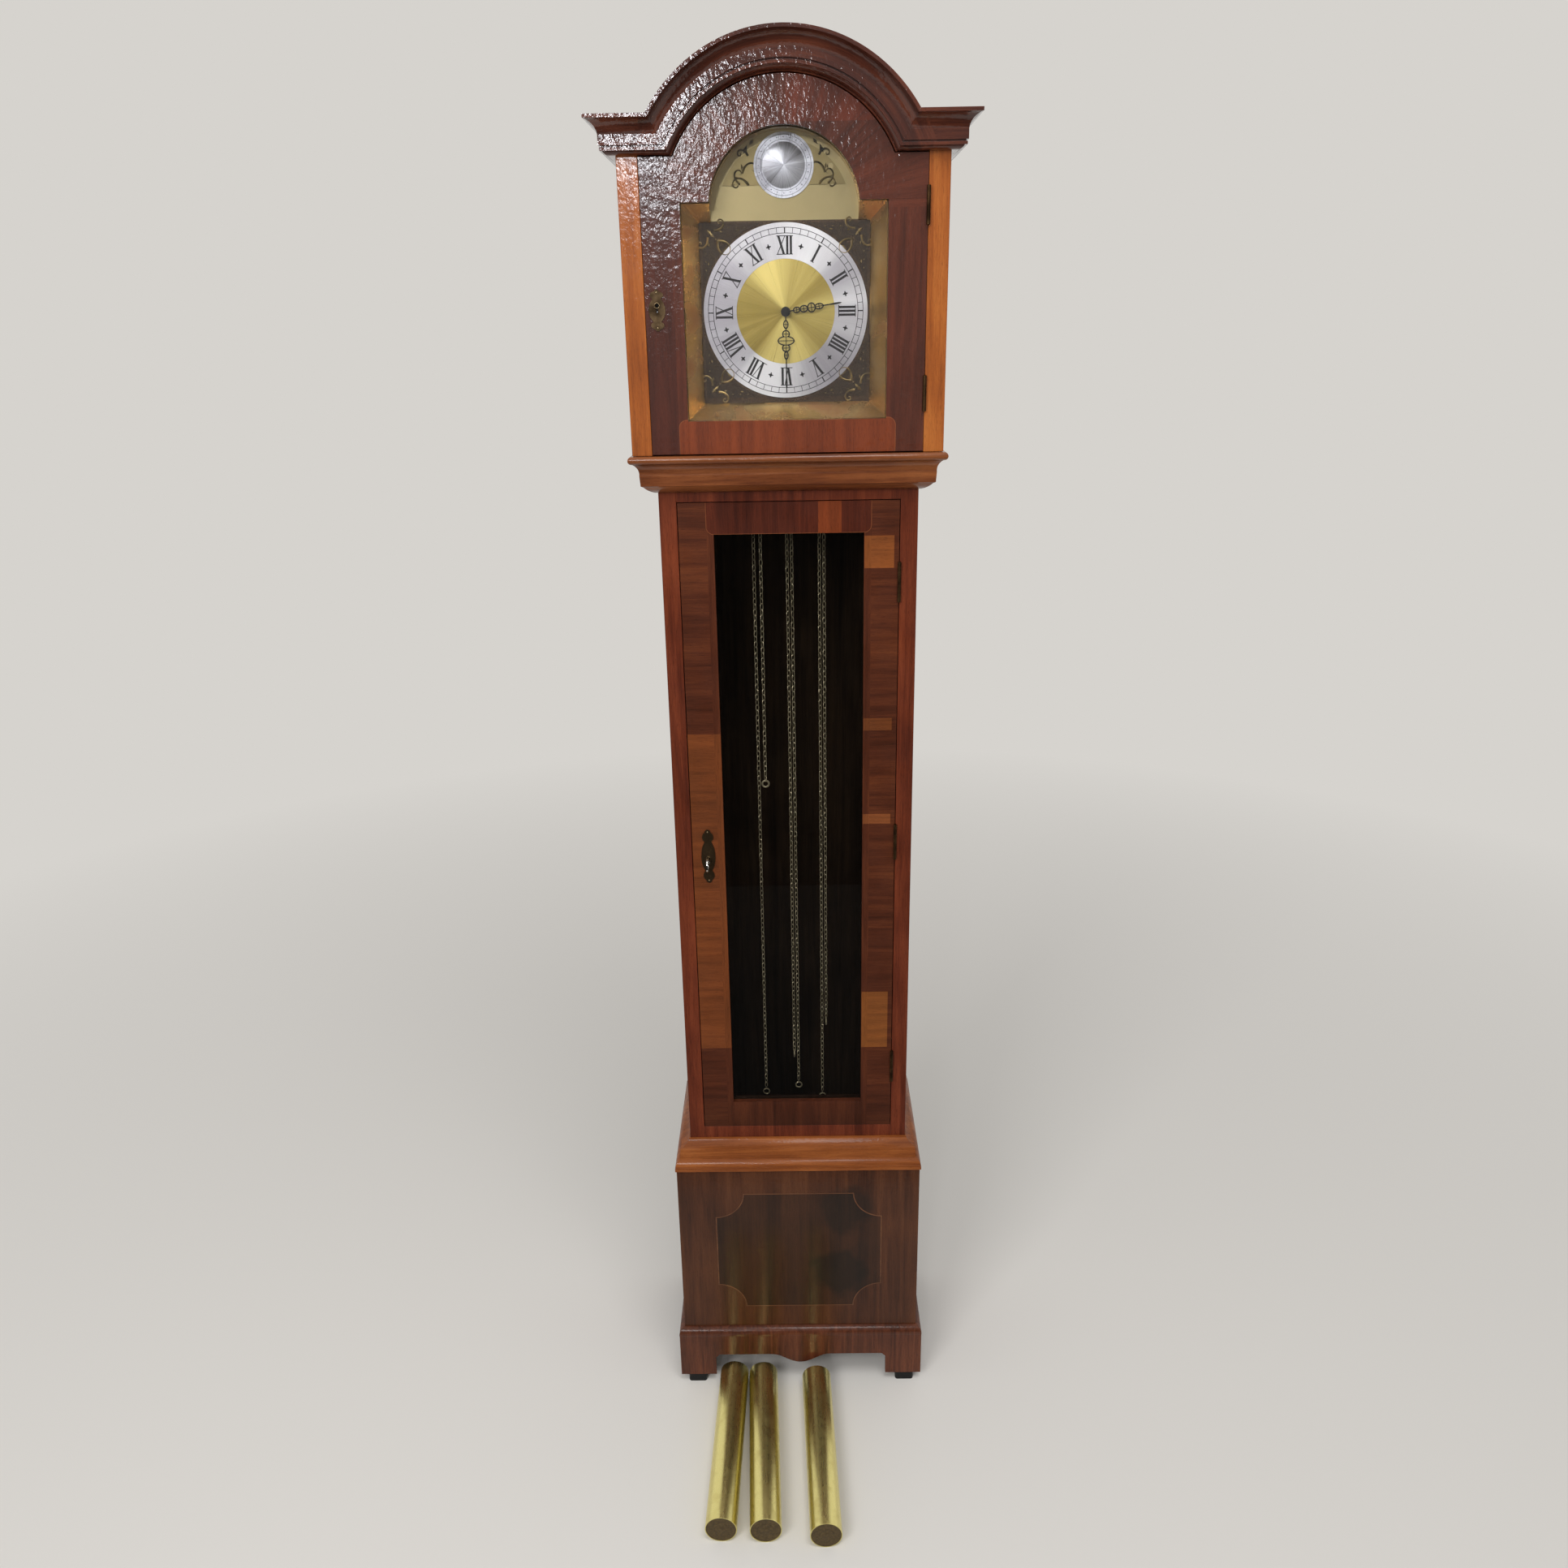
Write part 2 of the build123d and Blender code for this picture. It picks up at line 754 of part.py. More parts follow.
hood_inner_half = hood_half - hood_side_thickness
with BuildPart() as backboard:
    board(
        (-base_backboard_half, base_backboard_half), (0, backboard_thickness),
        (base_bottom, base_top),
    )
    board(
        (-trunk_backboard_half, trunk_backboard_half), (0, backboard_thickness),
        (base_bottom, cheek_top),
    )
    with BuildSketch(face_at(0)) as hood_back:
        roof_outline(
            hood_inner_half - door_gap, wing_roof_z - roof_thickness - 2 * door_gap,
            arch_roof_radius - roof_thickness - 2 * door_gap, cheek_top,
        )
    extrude(amount=backboard_thickness)
    screw_shanks(Mode.SUBTRACT)
    screw_heads(Mode.SUBTRACT)
save("backboard", backboard)

with BuildPart() as backboard_screws:
    screw_shanks()
    screw_heads()
save("backboard_screws", backboard_screws)

# Seatboard, with a slot for each chain
seat_top = cheek_top + seatboard_thickness
chain_middles = {"left": -chain_spacing, "middle": 0.0, "right": chain_spacing}
with BuildPart() as seatboard:
    board((-trunk_half, trunk_half), (seatboard_rear, trunk_frame_rear), (cheek_top, seat_top))
    for name, x in chain_middles.items():
        half_slot = max(abs(offset_x) for offset_x in strand_offsets[name]) + chain_width
        with BuildSketch(Plane.XY.offset(cheek_top)) as slot:
            with Locations((x, at_depth(chain_depth))):
                SlotOverall(2 * half_slot, 1.8 * chain_width)
        extrude(slot.sketch, amount=seatboard_thickness, mode=Mode.SUBTRACT)
save("seatboard", seatboard)


def hinge_leaf(x, face_depth, axis_x, heights, length, case_side):
    """One side's leaves of a row of butt hinges, with its knuckles and, on the case, its pins.

    The case's leaf carries the end knuckles and the pin; the door's carries the middle one.
    """
    axis_depth = face_depth + hinge_standoff
    third = length / 3
    leaf = (x, x + leaf_thickness) if case_side else (x - leaf_thickness, x)
    for z in heights:
        leaf_depth = (face_depth - leaf_width, face_depth - hinge_leaf_inset)
        board(leaf, leaf_depth, (z - length / 2, z + length / 2))
        if case_side:
            spans = ((z - length / 2, z - third / 2), (z + third / 2, z + length / 2))
        else:
            spans = ((z - third / 2 + seat_gap, z + third / 2 - seat_gap),)
        for span in spans:
            board(leaf, (face_depth - leaf_width, axis_depth), span)
            bar((axis_x, axis_depth, span[0]), (axis_x, axis_depth, span[1]), knuckle_radius)
            bore = hinge_pin_radius if case_side else hinge_pin_radius + bearing_gap
            bar((axis_x, axis_depth, span[0]), (axis_x, axis_depth, span[1]), bore, Mode.SUBTRACT)


def hinge_pins(face_depth, axis_x, heights, length):
    """The loose pins of a row of butt hinges."""
    axis_depth = face_depth + hinge_standoff
    for z in heights:
        bar((axis_x, axis_depth, z - length / 2), (axis_x, axis_depth, z + length / 2), hinge_pin_radius)


trunk_axis_x = trunk_door_half_width + door_gap
with BuildPart() as trunk_case_hinges:
    hinge_leaf(trunk_opening_half, trunk_depth, trunk_axis_x, trunk_hinge_heights, trunk_hinge_length, True)
    hinge_pins(trunk_depth, trunk_axis_x, trunk_hinge_heights, trunk_hinge_length)
save("trunk_case_hinges", trunk_case_hinges)

# Trunk door
with BuildPart() as trunk_door_frame:
    door_depth = (trunk_frame_rear, trunk_depth)
    glass_half = trunk_glass_half_width
    board(
        (-trunk_door_half_width, trunk_door_half_width), door_depth,
        (trunk_door_bottom, trunk_door_top),
    )
    board((-glass_half, glass_half), door_depth, (trunk_glass_bottom, trunk_glass_top), Mode.SUBTRACT)
    board(
        (-glass_half - glass_rebate, glass_half + glass_rebate),
        (trunk_frame_rear, trunk_depth - glass_lip),
        (trunk_glass_bottom - glass_rebate, trunk_glass_top + glass_rebate),
        Mode.SUBTRACT,
    )
    for z_span in ((trunk_door_bottom, trunk_glass_bottom), (trunk_glass_top, trunk_door_top)):
        board_pair(glass_half - glue_half, glass_half + glue_half, door_depth, z_span, Mode.SUBTRACT)
    for z in trunk_hinge_heights:
        board(
            (trunk_door_half_width - leaf_thickness, trunk_door_half_width),
            (trunk_depth - leaf_width, trunk_depth),
            (z - trunk_hinge_length / 2, z + trunk_hinge_length / 2),
            Mode.SUBTRACT,
        )
    keyhole(trunk_keyhole_x, trunk_keyhole_z, (trunk_frame_rear, trunk_depth))
    lock_pocket(trunk_keyhole_x, trunk_keyhole_z, trunk_frame_rear, trunk_lock_width)
    board(
        (-trunk_door_half_width, trunk_keyhole_x),
        (bolt_depth - bolt_thickness / 2 - slide_gap, bolt_depth + bolt_thickness / 2 + slide_gap),
        (bolt_z - bolt_height / 2 - slide_gap, bolt_z + bolt_height / 2 + slide_gap),
        Mode.SUBTRACT,
    )
save("trunk_door_frame", trunk_door_frame)

glass_front = trunk_depth - glass_lip
with BuildPart() as trunk_door_glass:
    glass_edge = glass_rebate - door_gap
    board(
        (-glass_half - glass_edge, glass_half + glass_edge),
        (glass_front - glass_thickness, glass_front),
        (trunk_glass_bottom - glass_edge, trunk_glass_top + glass_edge),
    )
save("trunk_door_glass", trunk_door_glass)

with BuildPart() as trunk_door_beads:
    bead_depth = (trunk_frame_rear, glass_front - glass_thickness)
    board_pair(
        glass_half, glass_half + glass_rebate, bead_depth,
        (trunk_glass_bottom - glass_rebate, trunk_glass_top + glass_rebate),
    )
    for z_span in (
        (trunk_glass_bottom - glass_rebate, trunk_glass_bottom),
        (trunk_glass_top, trunk_glass_top + glass_rebate),
    ):
        board((-glass_half + glue_line, glass_half - glue_line), bead_depth, z_span)
save("trunk_door_beads", trunk_door_beads)

with BuildPart() as trunk_door_hinges:
    hinge_leaf(
        trunk_door_half_width, trunk_depth, trunk_axis_x, trunk_hinge_heights, trunk_hinge_length, False
    )
save("trunk_door_hinges", trunk_door_hinges)

with BuildPart() as trunk_escutcheon:
    with BuildSketch(face_at(trunk_depth)):
        escutcheon_outline(trunk_keyhole_x, trunk_keyhole_z + escutcheon_shift, trunk_escutcheon_height)
    extrude(amount=escutcheon_thickness)
    keyhole(
        trunk_keyhole_x, trunk_keyhole_z, (trunk_depth, trunk_depth + escutcheon_thickness),
    )
save("trunk_escutcheon", trunk_escutcheon)

with BuildPart() as trunk_lock:
    lock_body(trunk_keyhole_x, trunk_keyhole_z, trunk_frame_rear, trunk_lock_width)
    board(
        (trunk_keyhole_x - trunk_lock_width, trunk_keyhole_x + trunk_lock_width),
        (bolt_depth - bolt_thickness / 2 - slide_gap, bolt_depth + bolt_thickness / 2 + slide_gap),
        (bolt_z - bolt_height / 2 - slide_gap, bolt_z + bolt_height / 2 + slide_gap),
        Mode.SUBTRACT,
    )
save("trunk_lock", trunk_lock)

with BuildPart() as trunk_lock_bolt:
    bolt_end = -trunk_door_half_width + slide_gap
    board(
        (bolt_end, bolt_end + bolt_length),
        (bolt_depth - bolt_thickness / 2, bolt_depth + bolt_thickness / 2),
        (bolt_z - bolt_height / 2, bolt_z + bolt_height / 2),
    )
save("trunk_lock_bolt", trunk_lock_bolt)

with BuildPart() as trunk_key:
    x, z = trunk_keyhole_x, trunk_keyhole_z
    shank_end = trunk_depth + key_shank_length
    disc(x, z, key_shank_radius, (trunk_frame_rear + lock_depth / 3, shank_end))
    board(
        (x - key_bit_thickness / 2, x + key_bit_thickness / 2),
        (trunk_frame_rear + lock_depth / 3, trunk_frame_rear + lock_depth * 2 / 3),
        (z - key_bit_height, z),
    )
    collar_rear = shank_end - key_collar_inset
    disc(x, z, key_collar_radius, (collar_rear, collar_rear + key_collar_width))
    side_plane = Plane(origin=(x, at_depth(shank_end), z), x_dir=(0, -1, 0), z_dir=(-1, 0, 0))
    with BuildSketch(side_plane) as bow:
        with Locations((key_bow_length / 2 - key_bow_seat, 0)):
            Ellipse(key_bow_length / 2, key_bow_height / 2)
            Ellipse(
                key_bow_length / 2 - key_bow_wire, key_bow_height / 2 - key_bow_wire, mode=Mode.SUBTRACT
            )
    extrude(bow.sketch, amount=key_bow_thickness / 2, both=True)
save("trunk_key", trunk_key)

# Hood
hood_front_inner = hood_depth - hood_post_thickness
door_half = hood_half - hood_post_width - door_gap
door_wing_z = cornice_bottom - 2 * door_gap
door_arch_radius = cornice_inner_radius - head_shadow_gap
with BuildPart() as hood_carcase:
    side_top = wing_roof_z - roof_thickness
    board_pair(hood_inner_half, hood_half, (0, hood_front_inner), (hood_bottom, side_top))
    sill_top = hood_bottom + hood_sill_height
    board_pair(
        trunk_half + 2 * slide_gap, hood_inner_half - glue_line,
        (0, hood_front_inner - hood_sill_thickness - glue_line), (hood_bottom, sill_top),
    )
    board(
        (-hood_inner_half + glue_line, hood_inner_half - glue_line),
        (hood_front_inner - hood_sill_thickness, hood_front_inner - mask_sheet - slide_gap),
        (hood_bottom, sill_top),
    )
    for half_width, depth_span in (
        (hood_inner_half - glue_line, (backboard_thickness + 2 * door_gap, rear_arch_front)),
        (hood_half - hood_post_width - glue_line, (hood_front_inner, hood_depth)),
    ):
        with BuildSketch(face_at(depth_span[0])) as arch_board:
            roof_outline(
                half_width, wing_roof_z - roof_thickness, arch_roof_radius - roof_thickness,
                door_wing_z + 2 * door_gap,
            )
            with Locations((0, arch_centre_z)):
                Circle(door_arch_radius + head_shadow_gap / 2, mode=Mode.SUBTRACT)
        extrude(arch_board.sketch, amount=depth_span[1] - depth_span[0])
save("hood_carcase", hood_carcase)

with BuildPart() as hood_posts:
    board_pair(
        hood_half - hood_post_width, hood_half, (hood_front_inner, hood_depth),
        (hood_bottom, wing_roof_z - roof_thickness),
    )
    for z in hood_hinge_heights:
        board(
            (hood_half - hood_post_width, hood_half - hood_post_width + leaf_thickness),
            (hood_depth - leaf_width, hood_depth),
            (z - hood_hinge_length / 2, z + hood_hinge_length / 2),
            Mode.SUBTRACT,
        )
save("hood_posts", hood_posts)

with BuildPart() as hood_roof:
    with BuildSketch(face_at(0)):
        roof_outline(hood_half, wing_roof_z, arch_roof_radius, wing_roof_z - roof_thickness)
        with Locations((0, arch_centre_z)):
            Circle(arch_roof_radius - roof_thickness, mode=Mode.SUBTRACT)
    extrude(amount=hood_depth)
save("hood_roof", hood_roof)

# Cornice: a front arch between two wings, and two returns
with BuildSketch() as cornice_section:
    with BuildLine():
        Polyline((0, cornice_height), (0, 0), (cornice_foot, 0))
        SagittaArc((cornice_foot, 0), cornice_ovolo, -cornice_ovolo_round)
        bead_x, bead_high = cornice_bead
        groove_x, groove_high = cornice_groove
        Polyline(
            cornice_ovolo, (bead_x, cornice_ovolo[1]), cornice_bead, (groove_x, bead_high),
            cornice_groove, (cornice_fascia[0], groove_high), cornice_fascia,
        )
        SagittaArc(cornice_fascia, cornice_cove, cornice_cove_depth)
        Polyline(
            cornice_cove, (cornice_projection, cornice_height - cornice_top_edge),
            (cornice_projection, cornice_height), (0, cornice_height),
        )
    make_face()
cornice_lengths = mitred_lengths(cornice_section.sketch, hood_half, hood_depth, cornice_bottom)


def springing_x(radius, z):
    """Half the width of the arch of this radius at this height."""
    return math.sqrt(radius**2 - (z - arch_centre_z) ** 2)


spring_low = Vector(springing_x(cornice_inner_radius, cornice_bottom), cornice_bottom)
spring_high = Vector(
    springing_x(cornice_inner_radius + cornice_height, cornice_bottom + cornice_height),
    cornice_bottom + cornice_height,
)
spring_run = spring_high - spring_low
mask_foot = spring_low - spring_run
mask_head = spring_low + spring_run * 6
with BuildPart() as cornice_wings:
    add(cornice_lengths[0])
    with BuildSketch(face_at(hood_depth)) as arch_gap:
        Polygon(
            (mask_foot.X + glue_line, mask_foot.Y), (mask_head.X + glue_line, mask_head.Y),
            (-mask_head.X - glue_line, mask_head.Y), (-mask_foot.X - glue_line, mask_foot.Y),
            align=None,
        )
    extrude(amount=cornice_projection, mode=Mode.SUBTRACT)
with BuildPart() as cornice_arch:
    arch_plane = Plane(
        origin=(0, at_depth(hood_depth), arch_centre_z + cornice_inner_radius),
        x_dir=(0, -1, 0), z_dir=(-1, 0, 0),
    )
    with BuildSketch(arch_plane):
        add(cornice_section.sketch)
    revolve(axis=Axis((0, 0, arch_centre_z), (0, 1, 0)))
    with BuildSketch(face_at(hood_depth)):
        Polygon(
            (mask_foot.X, mask_foot.Y), (mask_head.X, mask_head.Y),
            (-mask_head.X, mask_head.Y), (-mask_foot.X, mask_foot.Y),
            align=None,
        )
    extrude(amount=cornice_projection, mode=Mode.INTERSECT)
with BuildPart() as cornice:
    add(cornice_wings.part)
    add(cornice_arch.part)
    add(cornice_lengths[1:])
save("cornice", cornice)

# Brass surround between the hood door and the dial
dial_face = hood_depth - dial_setback
dial_plate_rear = dial_face - dial_plate_thickness
mask_front = hood_front_inner
mask_rear = dial_face + mask_gap
mask_taper = math.degrees(math.atan(mask_inset / (mask_front - mask_rear)))


def mask_funnel(spread, mode):
    """The tapered square and the arch of the surround, this much outside its inner faces."""
    square_height = hood_aperture_shoulder - hood_aperture_bottom
    with BuildSketch(face_at(mask_rear)) as square:
        with Locations((0, (hood_aperture_shoulder + hood_aperture_bottom) / 2)):
            Rectangle(
                2 * (hood_aperture_half_width - mask_inset + spread),
                square_height - 2 * (mask_inset - spread),
            )
    extrude(square.sketch, amount=mask_front - mask_rear, taper=-mask_taper, mode=mode)
    with BuildSketch(face_at(mask_rear)) as arch:
        with Locations((0, arch_centre_z)):
            Circle(hood_aperture_radius + spread)
        with Locations((0, hood_aperture_shoulder - mask_inset - hood_aperture_radius)):
            Rectangle(4 * hood_aperture_radius, 2 * hood_aperture_radius, mode=Mode.SUBTRACT)
    extrude(arch.sketch, amount=mask_front - mask_rear, mode=mode)


with BuildPart() as dial_mask:
    with BuildSketch(face_at(mask_front - mask_sheet)) as sheet:
        with Locations((0, (sill_top + door_wing_z) / 2)):
            Rectangle(2 * (hood_inner_half - glue_line), door_wing_z - sill_top)
        with Locations((0, arch_centre_z)):
            Circle(hood_aperture_radius + mask_arch_margin)
    extrude(sheet.sketch, amount=mask_sheet)
    mask_funnel(mask_wall, Mode.ADD)
    mask_funnel(0, Mode.SUBTRACT)
save("dial_mask", dial_mask)

hood_axis_x = door_half + door_gap / 2
with BuildPart() as hood_case_hinges:
    hinge_leaf(
        hood_half - hood_post_width, hood_depth, hood_axis_x, hood_hinge_heights, hood_hinge_length, True
    )
    hinge_pins(hood_depth, hood_axis_x, hood_hinge_heights, hood_hinge_length)
save("hood_case_hinges", hood_case_hinges)

# Hood door
door_rear = hood_depth - hood_door_thickness


def hood_door_outline():
    """Inside an open sketch, draw the outer shape of the hood door."""
    with Locations((0, arch_centre_z)):
        Circle(door_arch_radius)
    with Locations((0, arch_centre_z - door_arch_radius)):
        Rectangle(4 * door_half, 2 * (door_wing_z - arch_centre_z + door_arch_radius), mode=Mode.SUBTRACT)
    with Locations((0, (door_wing_z + hood_door_bottom) / 2)):
        Rectangle(2 * door_half, door_wing_z - hood_door_bottom)


def hood_aperture_outline(spread):
    """Inside an open sketch, draw the arched opening of the hood door, spread outwards."""
    top, bottom = hood_aperture_shoulder + spread, hood_aperture_bottom - spread
    with Locations((0, arch_centre_z)):
        Circle(hood_aperture_radius + spread)
    with Locations((0, (top + bottom) / 2)):
        Rectangle(2 * (hood_aperture_half_width + spread), top - bottom)


with BuildPart() as hood_door_frame:
    with BuildSketch(face_at(door_rear)):
        hood_door_outline()
    extrude(amount=hood_door_thickness)
    with BuildSketch(face_at(door_rear)):
        hood_aperture_outline(0)
    extrude(amount=hood_door_thickness, mode=Mode.SUBTRACT)
    with BuildSketch(face_at(door_rear)):
        hood_aperture_outline(glass_rebate)
    extrude(amount=hood_door_thickness - glass_lip, mode=Mode.SUBTRACT)
    aperture_x = hood_aperture_half_width
    board_pair(
        aperture_x - glue_half, aperture_x + glue_half, (door_rear, hood_depth),
        (hood_door_bottom, hood_aperture_bottom), Mode.SUBTRACT,
    )
    board_pair(
        aperture_x, door_half, (door_rear, hood_depth),
        (hood_aperture_shoulder - glue_half, hood_aperture_shoulder + glue_half), Mode.SUBTRACT,
    )
    for z in hood_hinge_heights:
        board(
            (door_half - leaf_thickness, door_half), (hood_depth - leaf_width, hood_depth),
            (z - hood_hinge_length / 2, z + hood_hinge_length / 2), Mode.SUBTRACT,
        )
    keyhole(hood_keyhole_x, hood_keyhole_z, (door_rear, hood_depth))
    lock_pocket(hood_keyhole_x, hood_keyhole_z, door_rear, hood_lock_width)
save("hood_door_frame", hood_door_frame)

hood_glass_front = hood_depth - glass_lip
with BuildPart() as hood_door_glass:
    with BuildSketch(face_at(hood_glass_front - hood_glass_thickness)):
        hood_aperture_outline(glass_rebate - door_gap)
    extrude(amount=hood_glass_thickness)
save("hood_door_glass", hood_door_glass)

with BuildPart() as hood_escutcheon:
    with BuildSketch(face_at(hood_depth)):
        escutcheon_outline(hood_keyhole_x, hood_keyhole_z - hood_escutcheon_drop, hood_escutcheon_height)
    extrude(amount=escutcheon_thickness)
    keyhole(hood_keyhole_x, hood_keyhole_z, (hood_depth, hood_depth + escutcheon_thickness))
save("hood_escutcheon", hood_escutcheon)

with BuildPart() as hood_lock:
    lock_body(hood_keyhole_x, hood_keyhole_z, door_rear, hood_lock_width)
save("hood_lock", hood_lock)

with BuildPart() as hood_door_hinges:
    hinge_leaf(door_half, hood_depth, hood_axis_x, hood_hinge_heights, hood_hinge_length, False)
save("hood_door_hinges", hood_door_hinges)

# Dial
dial_hole_radius = hour_pipe_radius + slide_gap
with BuildPart() as dial_plate:
    with BuildSketch(face_at(dial_plate_rear)):
        with Locations((0, (dial_bottom + dial_top) / 2)):
            Rectangle(2 * dial_half_width, dial_top - dial_bottom)
        with Locations((0, arch_centre_z)):
            Circle(dial_arch_radius)
        with Locations((0, dial_centre_z)):
            Circle(dial_hole_radius, mode=Mode.SUBTRACT)
    extrude(amount=dial_plate_thickness)
save("dial_plate", dial_plate)

with BuildPart() as chapter_ring:
    with BuildSketch(face_at(dial_face)):
        with Locations((0, dial_centre_z)):
            Circle(chapter_outer)
            Circle(chapter_inner, mode=Mode.SUBTRACT)
    extrude(amount=chapter_thickness)
save("chapter_ring", chapter_ring)

with BuildPart() as dial_centre:
    with BuildSketch(face_at(dial_face)):
        with Locations((0, dial_centre_z)):
            Circle(chapter_inner - glue_line)
            Circle(dial_hole_radius, mode=Mode.SUBTRACT)
    extrude(amount=dial_disc_thickness)
save("dial_centre", dial_centre)

with BuildPart() as arch_boss:
    disc(0, boss_z, boss_radius, (dial_face, dial_face + boss_thickness))
    dome_radius = (boss_radius**2 * 0.5 + boss_dome_height**2) / (2 * boss_dome_height)
    dome_plane = Plane(
        origin=(0, at_depth(dial_face + boss_thickness), boss_z), x_dir=(1, 0, 0), z_dir=(0, 0, 1)
    )
    with BuildSketch(dome_plane) as dome:
        with BuildLine():
            rim = boss_radius * math.sqrt(0.5)
            Polyline((0, -boss_dome_height), (0, 0), (rim, 0))
            RadiusArc((rim, 0), (0, -boss_dome_height), dome_radius)
        make_face()
    revolve(dome.sketch, axis=Axis((0, at_depth(dial_face), boss_z), (0, 1, 0)))
save("arch_boss", arch_boss)

with BuildPart() as spandrels:
    opening_half = hood_aperture_half_width - mask_inset - spandrel_margin
    with BuildSketch(face_at(dial_face)):
        for side_x in (-1, 1):
            for side_z in (-1, 1):
                square_edge = dial_centre_z + side_z * opening_half
                with Locations((side_x * opening_half / 2, (dial_centre_z + square_edge) / 2)):
                    Rectangle(opening_half, opening_half)
        with Locations((0, dial_centre_z)):
            Circle(chapter_outer + spandrel_margin, mode=Mode.SUBTRACT)
        for side_x in (-1, 1):
            for side_z in (-1, 1):
                for reach, radius in spandrel_piercings:
                    offset_xz = reach * opening_half
                    with Locations((side_x * offset_xz, dial_centre_z + side_z * offset_xz)):
                        Circle(radius, mode=Mode.SUBTRACT)
    extrude(amount=spandrel_thickness)
    with BuildSketch(face_at(dial_face)) as arch_spandrels:
        with Locations((0, arch_centre_z)):
            Circle(hood_aperture_radius - arch_spandrel_margin)
        with Locations((0, boss_z)):
            Circle(boss_radius + glue_line, mode=Mode.SUBTRACT)
        with Locations((0, boss_z - arch_spandrel_top - 2 * hood_aperture_radius)):
            Rectangle(4 * hood_aperture_radius, 4 * hood_aperture_radius, mode=Mode.SUBTRACT)
        with Locations((0, boss_z)):
            Rectangle(2 * glue_line, 4 * boss_radius, mode=Mode.SUBTRACT)
            for angle in arch_piercing_angles:
                with PolarLocations(arch_piercing_reach, 1, start_angle=angle):
                    Circle(arch_piercing_radius, mode=Mode.SUBTRACT)
    extrude(arch_spandrels.sketch, amount=spandrel_thickness)
save("spandrels", spandrels)

# Movement frame: two plates, pillars, the feet of the dial and the suspension cock
front_plate_rear = back_plate_depth + plate_thickness + plate_spacing
front_plate_face = front_plate_rear + plate_thickness
between = (back_plate_depth + plate_thickness, front_plate_rear)
plate_top = seat_top + plate_height
great_distance = (great_teeth + pinion_leaves) * great_module / 2
great_z = dial_centre_z - great_distance
third_distance = (centre_teeth + pinion_leaves) * centre_module / 2
third_x = third_offset_x
third_z = dial_centre_z + math.sqrt(third_distance**2 - third_x**2)
escape_distance = (third_teeth + pinion_leaves) * third_module / 2
escape_z = third_z + math.sqrt(escape_distance**2 - third_x**2)
anchor_z = escape_z + anchor_rise
minute_wheel_x = motion_distance * math.cos(math.radians(motion_angle))
minute_wheel_z = dial_centre_z + motion_distance * math.sin(math.radians(motion_angle))
arbor_places = [
    (-chain_spacing, great_z), (0, great_z), (chain_spacing, great_z),
    (third_x, third_z), (0, escape_z), (0, anchor_z),
]
with BuildPart() as movement_frame:
    for depth in (back_plate_depth, front_plate_rear):
        board(
            (-plate_half_width, plate_half_width), (depth, depth + plate_thickness), (seat_top, plate_top)
        )
    pillar_x = plate_half_width - pillar_inset
    for x in (-pillar_x, pillar_x):
        for z in (seat_top + pillar_inset, plate_top - pillar_inset):
            disc(x, z, pillar_radius, between)
    for x in (-dial_foot_x, dial_foot_x):
        for z in (dial_centre_z - dial_foot_drop, plate_top - pillar_inset):
            disc(x, z, dial_foot_radius, (front_plate_face, dial_plate_rear))
    for x, z in arbor_places:
        for depth in (back_plate_depth, front_plate_rear):
            disc(x, z, pivot_radius + bearing_gap, (depth, depth + plate_thickness), Mode.SUBTRACT)
    disc(
        0, dial_centre_z, pivot_radius + bearing_gap,
        (back_plate_depth, back_plate_depth + plate_thickness), Mode.SUBTRACT,
    )
    disc(
        0, dial_centre_z, centre_arbor_radius + bearing_gap,
        (front_plate_rear, front_plate_face), Mode.SUBTRACT,
    )
    disc(
        0, anchor_z, arbor_radius + slide_gap,
        (back_plate_depth, back_plate_depth + plate_thickness), Mode.SUBTRACT,
    )
    stud_end = front_plate_face + minute_stud_length
    disc(minute_wheel_x, minute_wheel_z, pivot_radius, (front_plate_face, stud_end))
    cock_z = anchor_z + suspension_length
    board(
        (-cock_half_width, cock_half_width), (leader_depth - cock_reach, back_plate_depth),
        (cock_z, plate_top),
    )
    board(
        (-leader_width / 2, leader_width / 2),
        (leader_depth - suspension_thickness / 2, leader_depth + suspension_thickness / 2),
        (anchor_z + seat_gap, cock_z),
    )
save("movement_frame", movement_frame)

# Going train
great_depth = (between[0] + time_wheel_inset, between[0] + time_wheel_inset + great_wheel_thickness)
side_depth = (between[1] - side_wheel_inset, between[1] - side_wheel_inset + great_wheel_thickness)
sprocket_half = chain_width / 2 + sprocket_side_gap
sprocket_depth = (chain_depth - sprocket_half, chain_depth + sprocket_half)


def great_wheel(x, wheel_span, phase):
    """A great wheel on its arbor with its chain sprocket."""
    outline = toothed_outline(great_teeth, great_module, phase)
    toothed_wheel(x, great_z, wheel_span, outline)
    root_radius = great_teeth * great_module / 2 - 1.3 * great_module
    crossings(x, great_z, wheel_span, arbor_radius + wheel_boss, root_radius - wheel_rim, 5)
    disc(x, great_z, pivot_radius, (between[0] - plate_thickness, between[1] + plate_thickness))
    disc(x, great_z, arbor_radius, (between[0] + seat_gap, between[1] - seat_gap))
    disc(x, great_z, sprocket_radius - chain_width / 2 - sprocket_core_gap, sprocket_depth)
    for edge, direction in ((sprocket_depth[0], -1), (sprocket_depth[1], 1)):
        span = sorted((edge, edge + direction * sprocket_flange_thickness))
        disc(x, great_z, sprocket_radius + sprocket_flange, span)


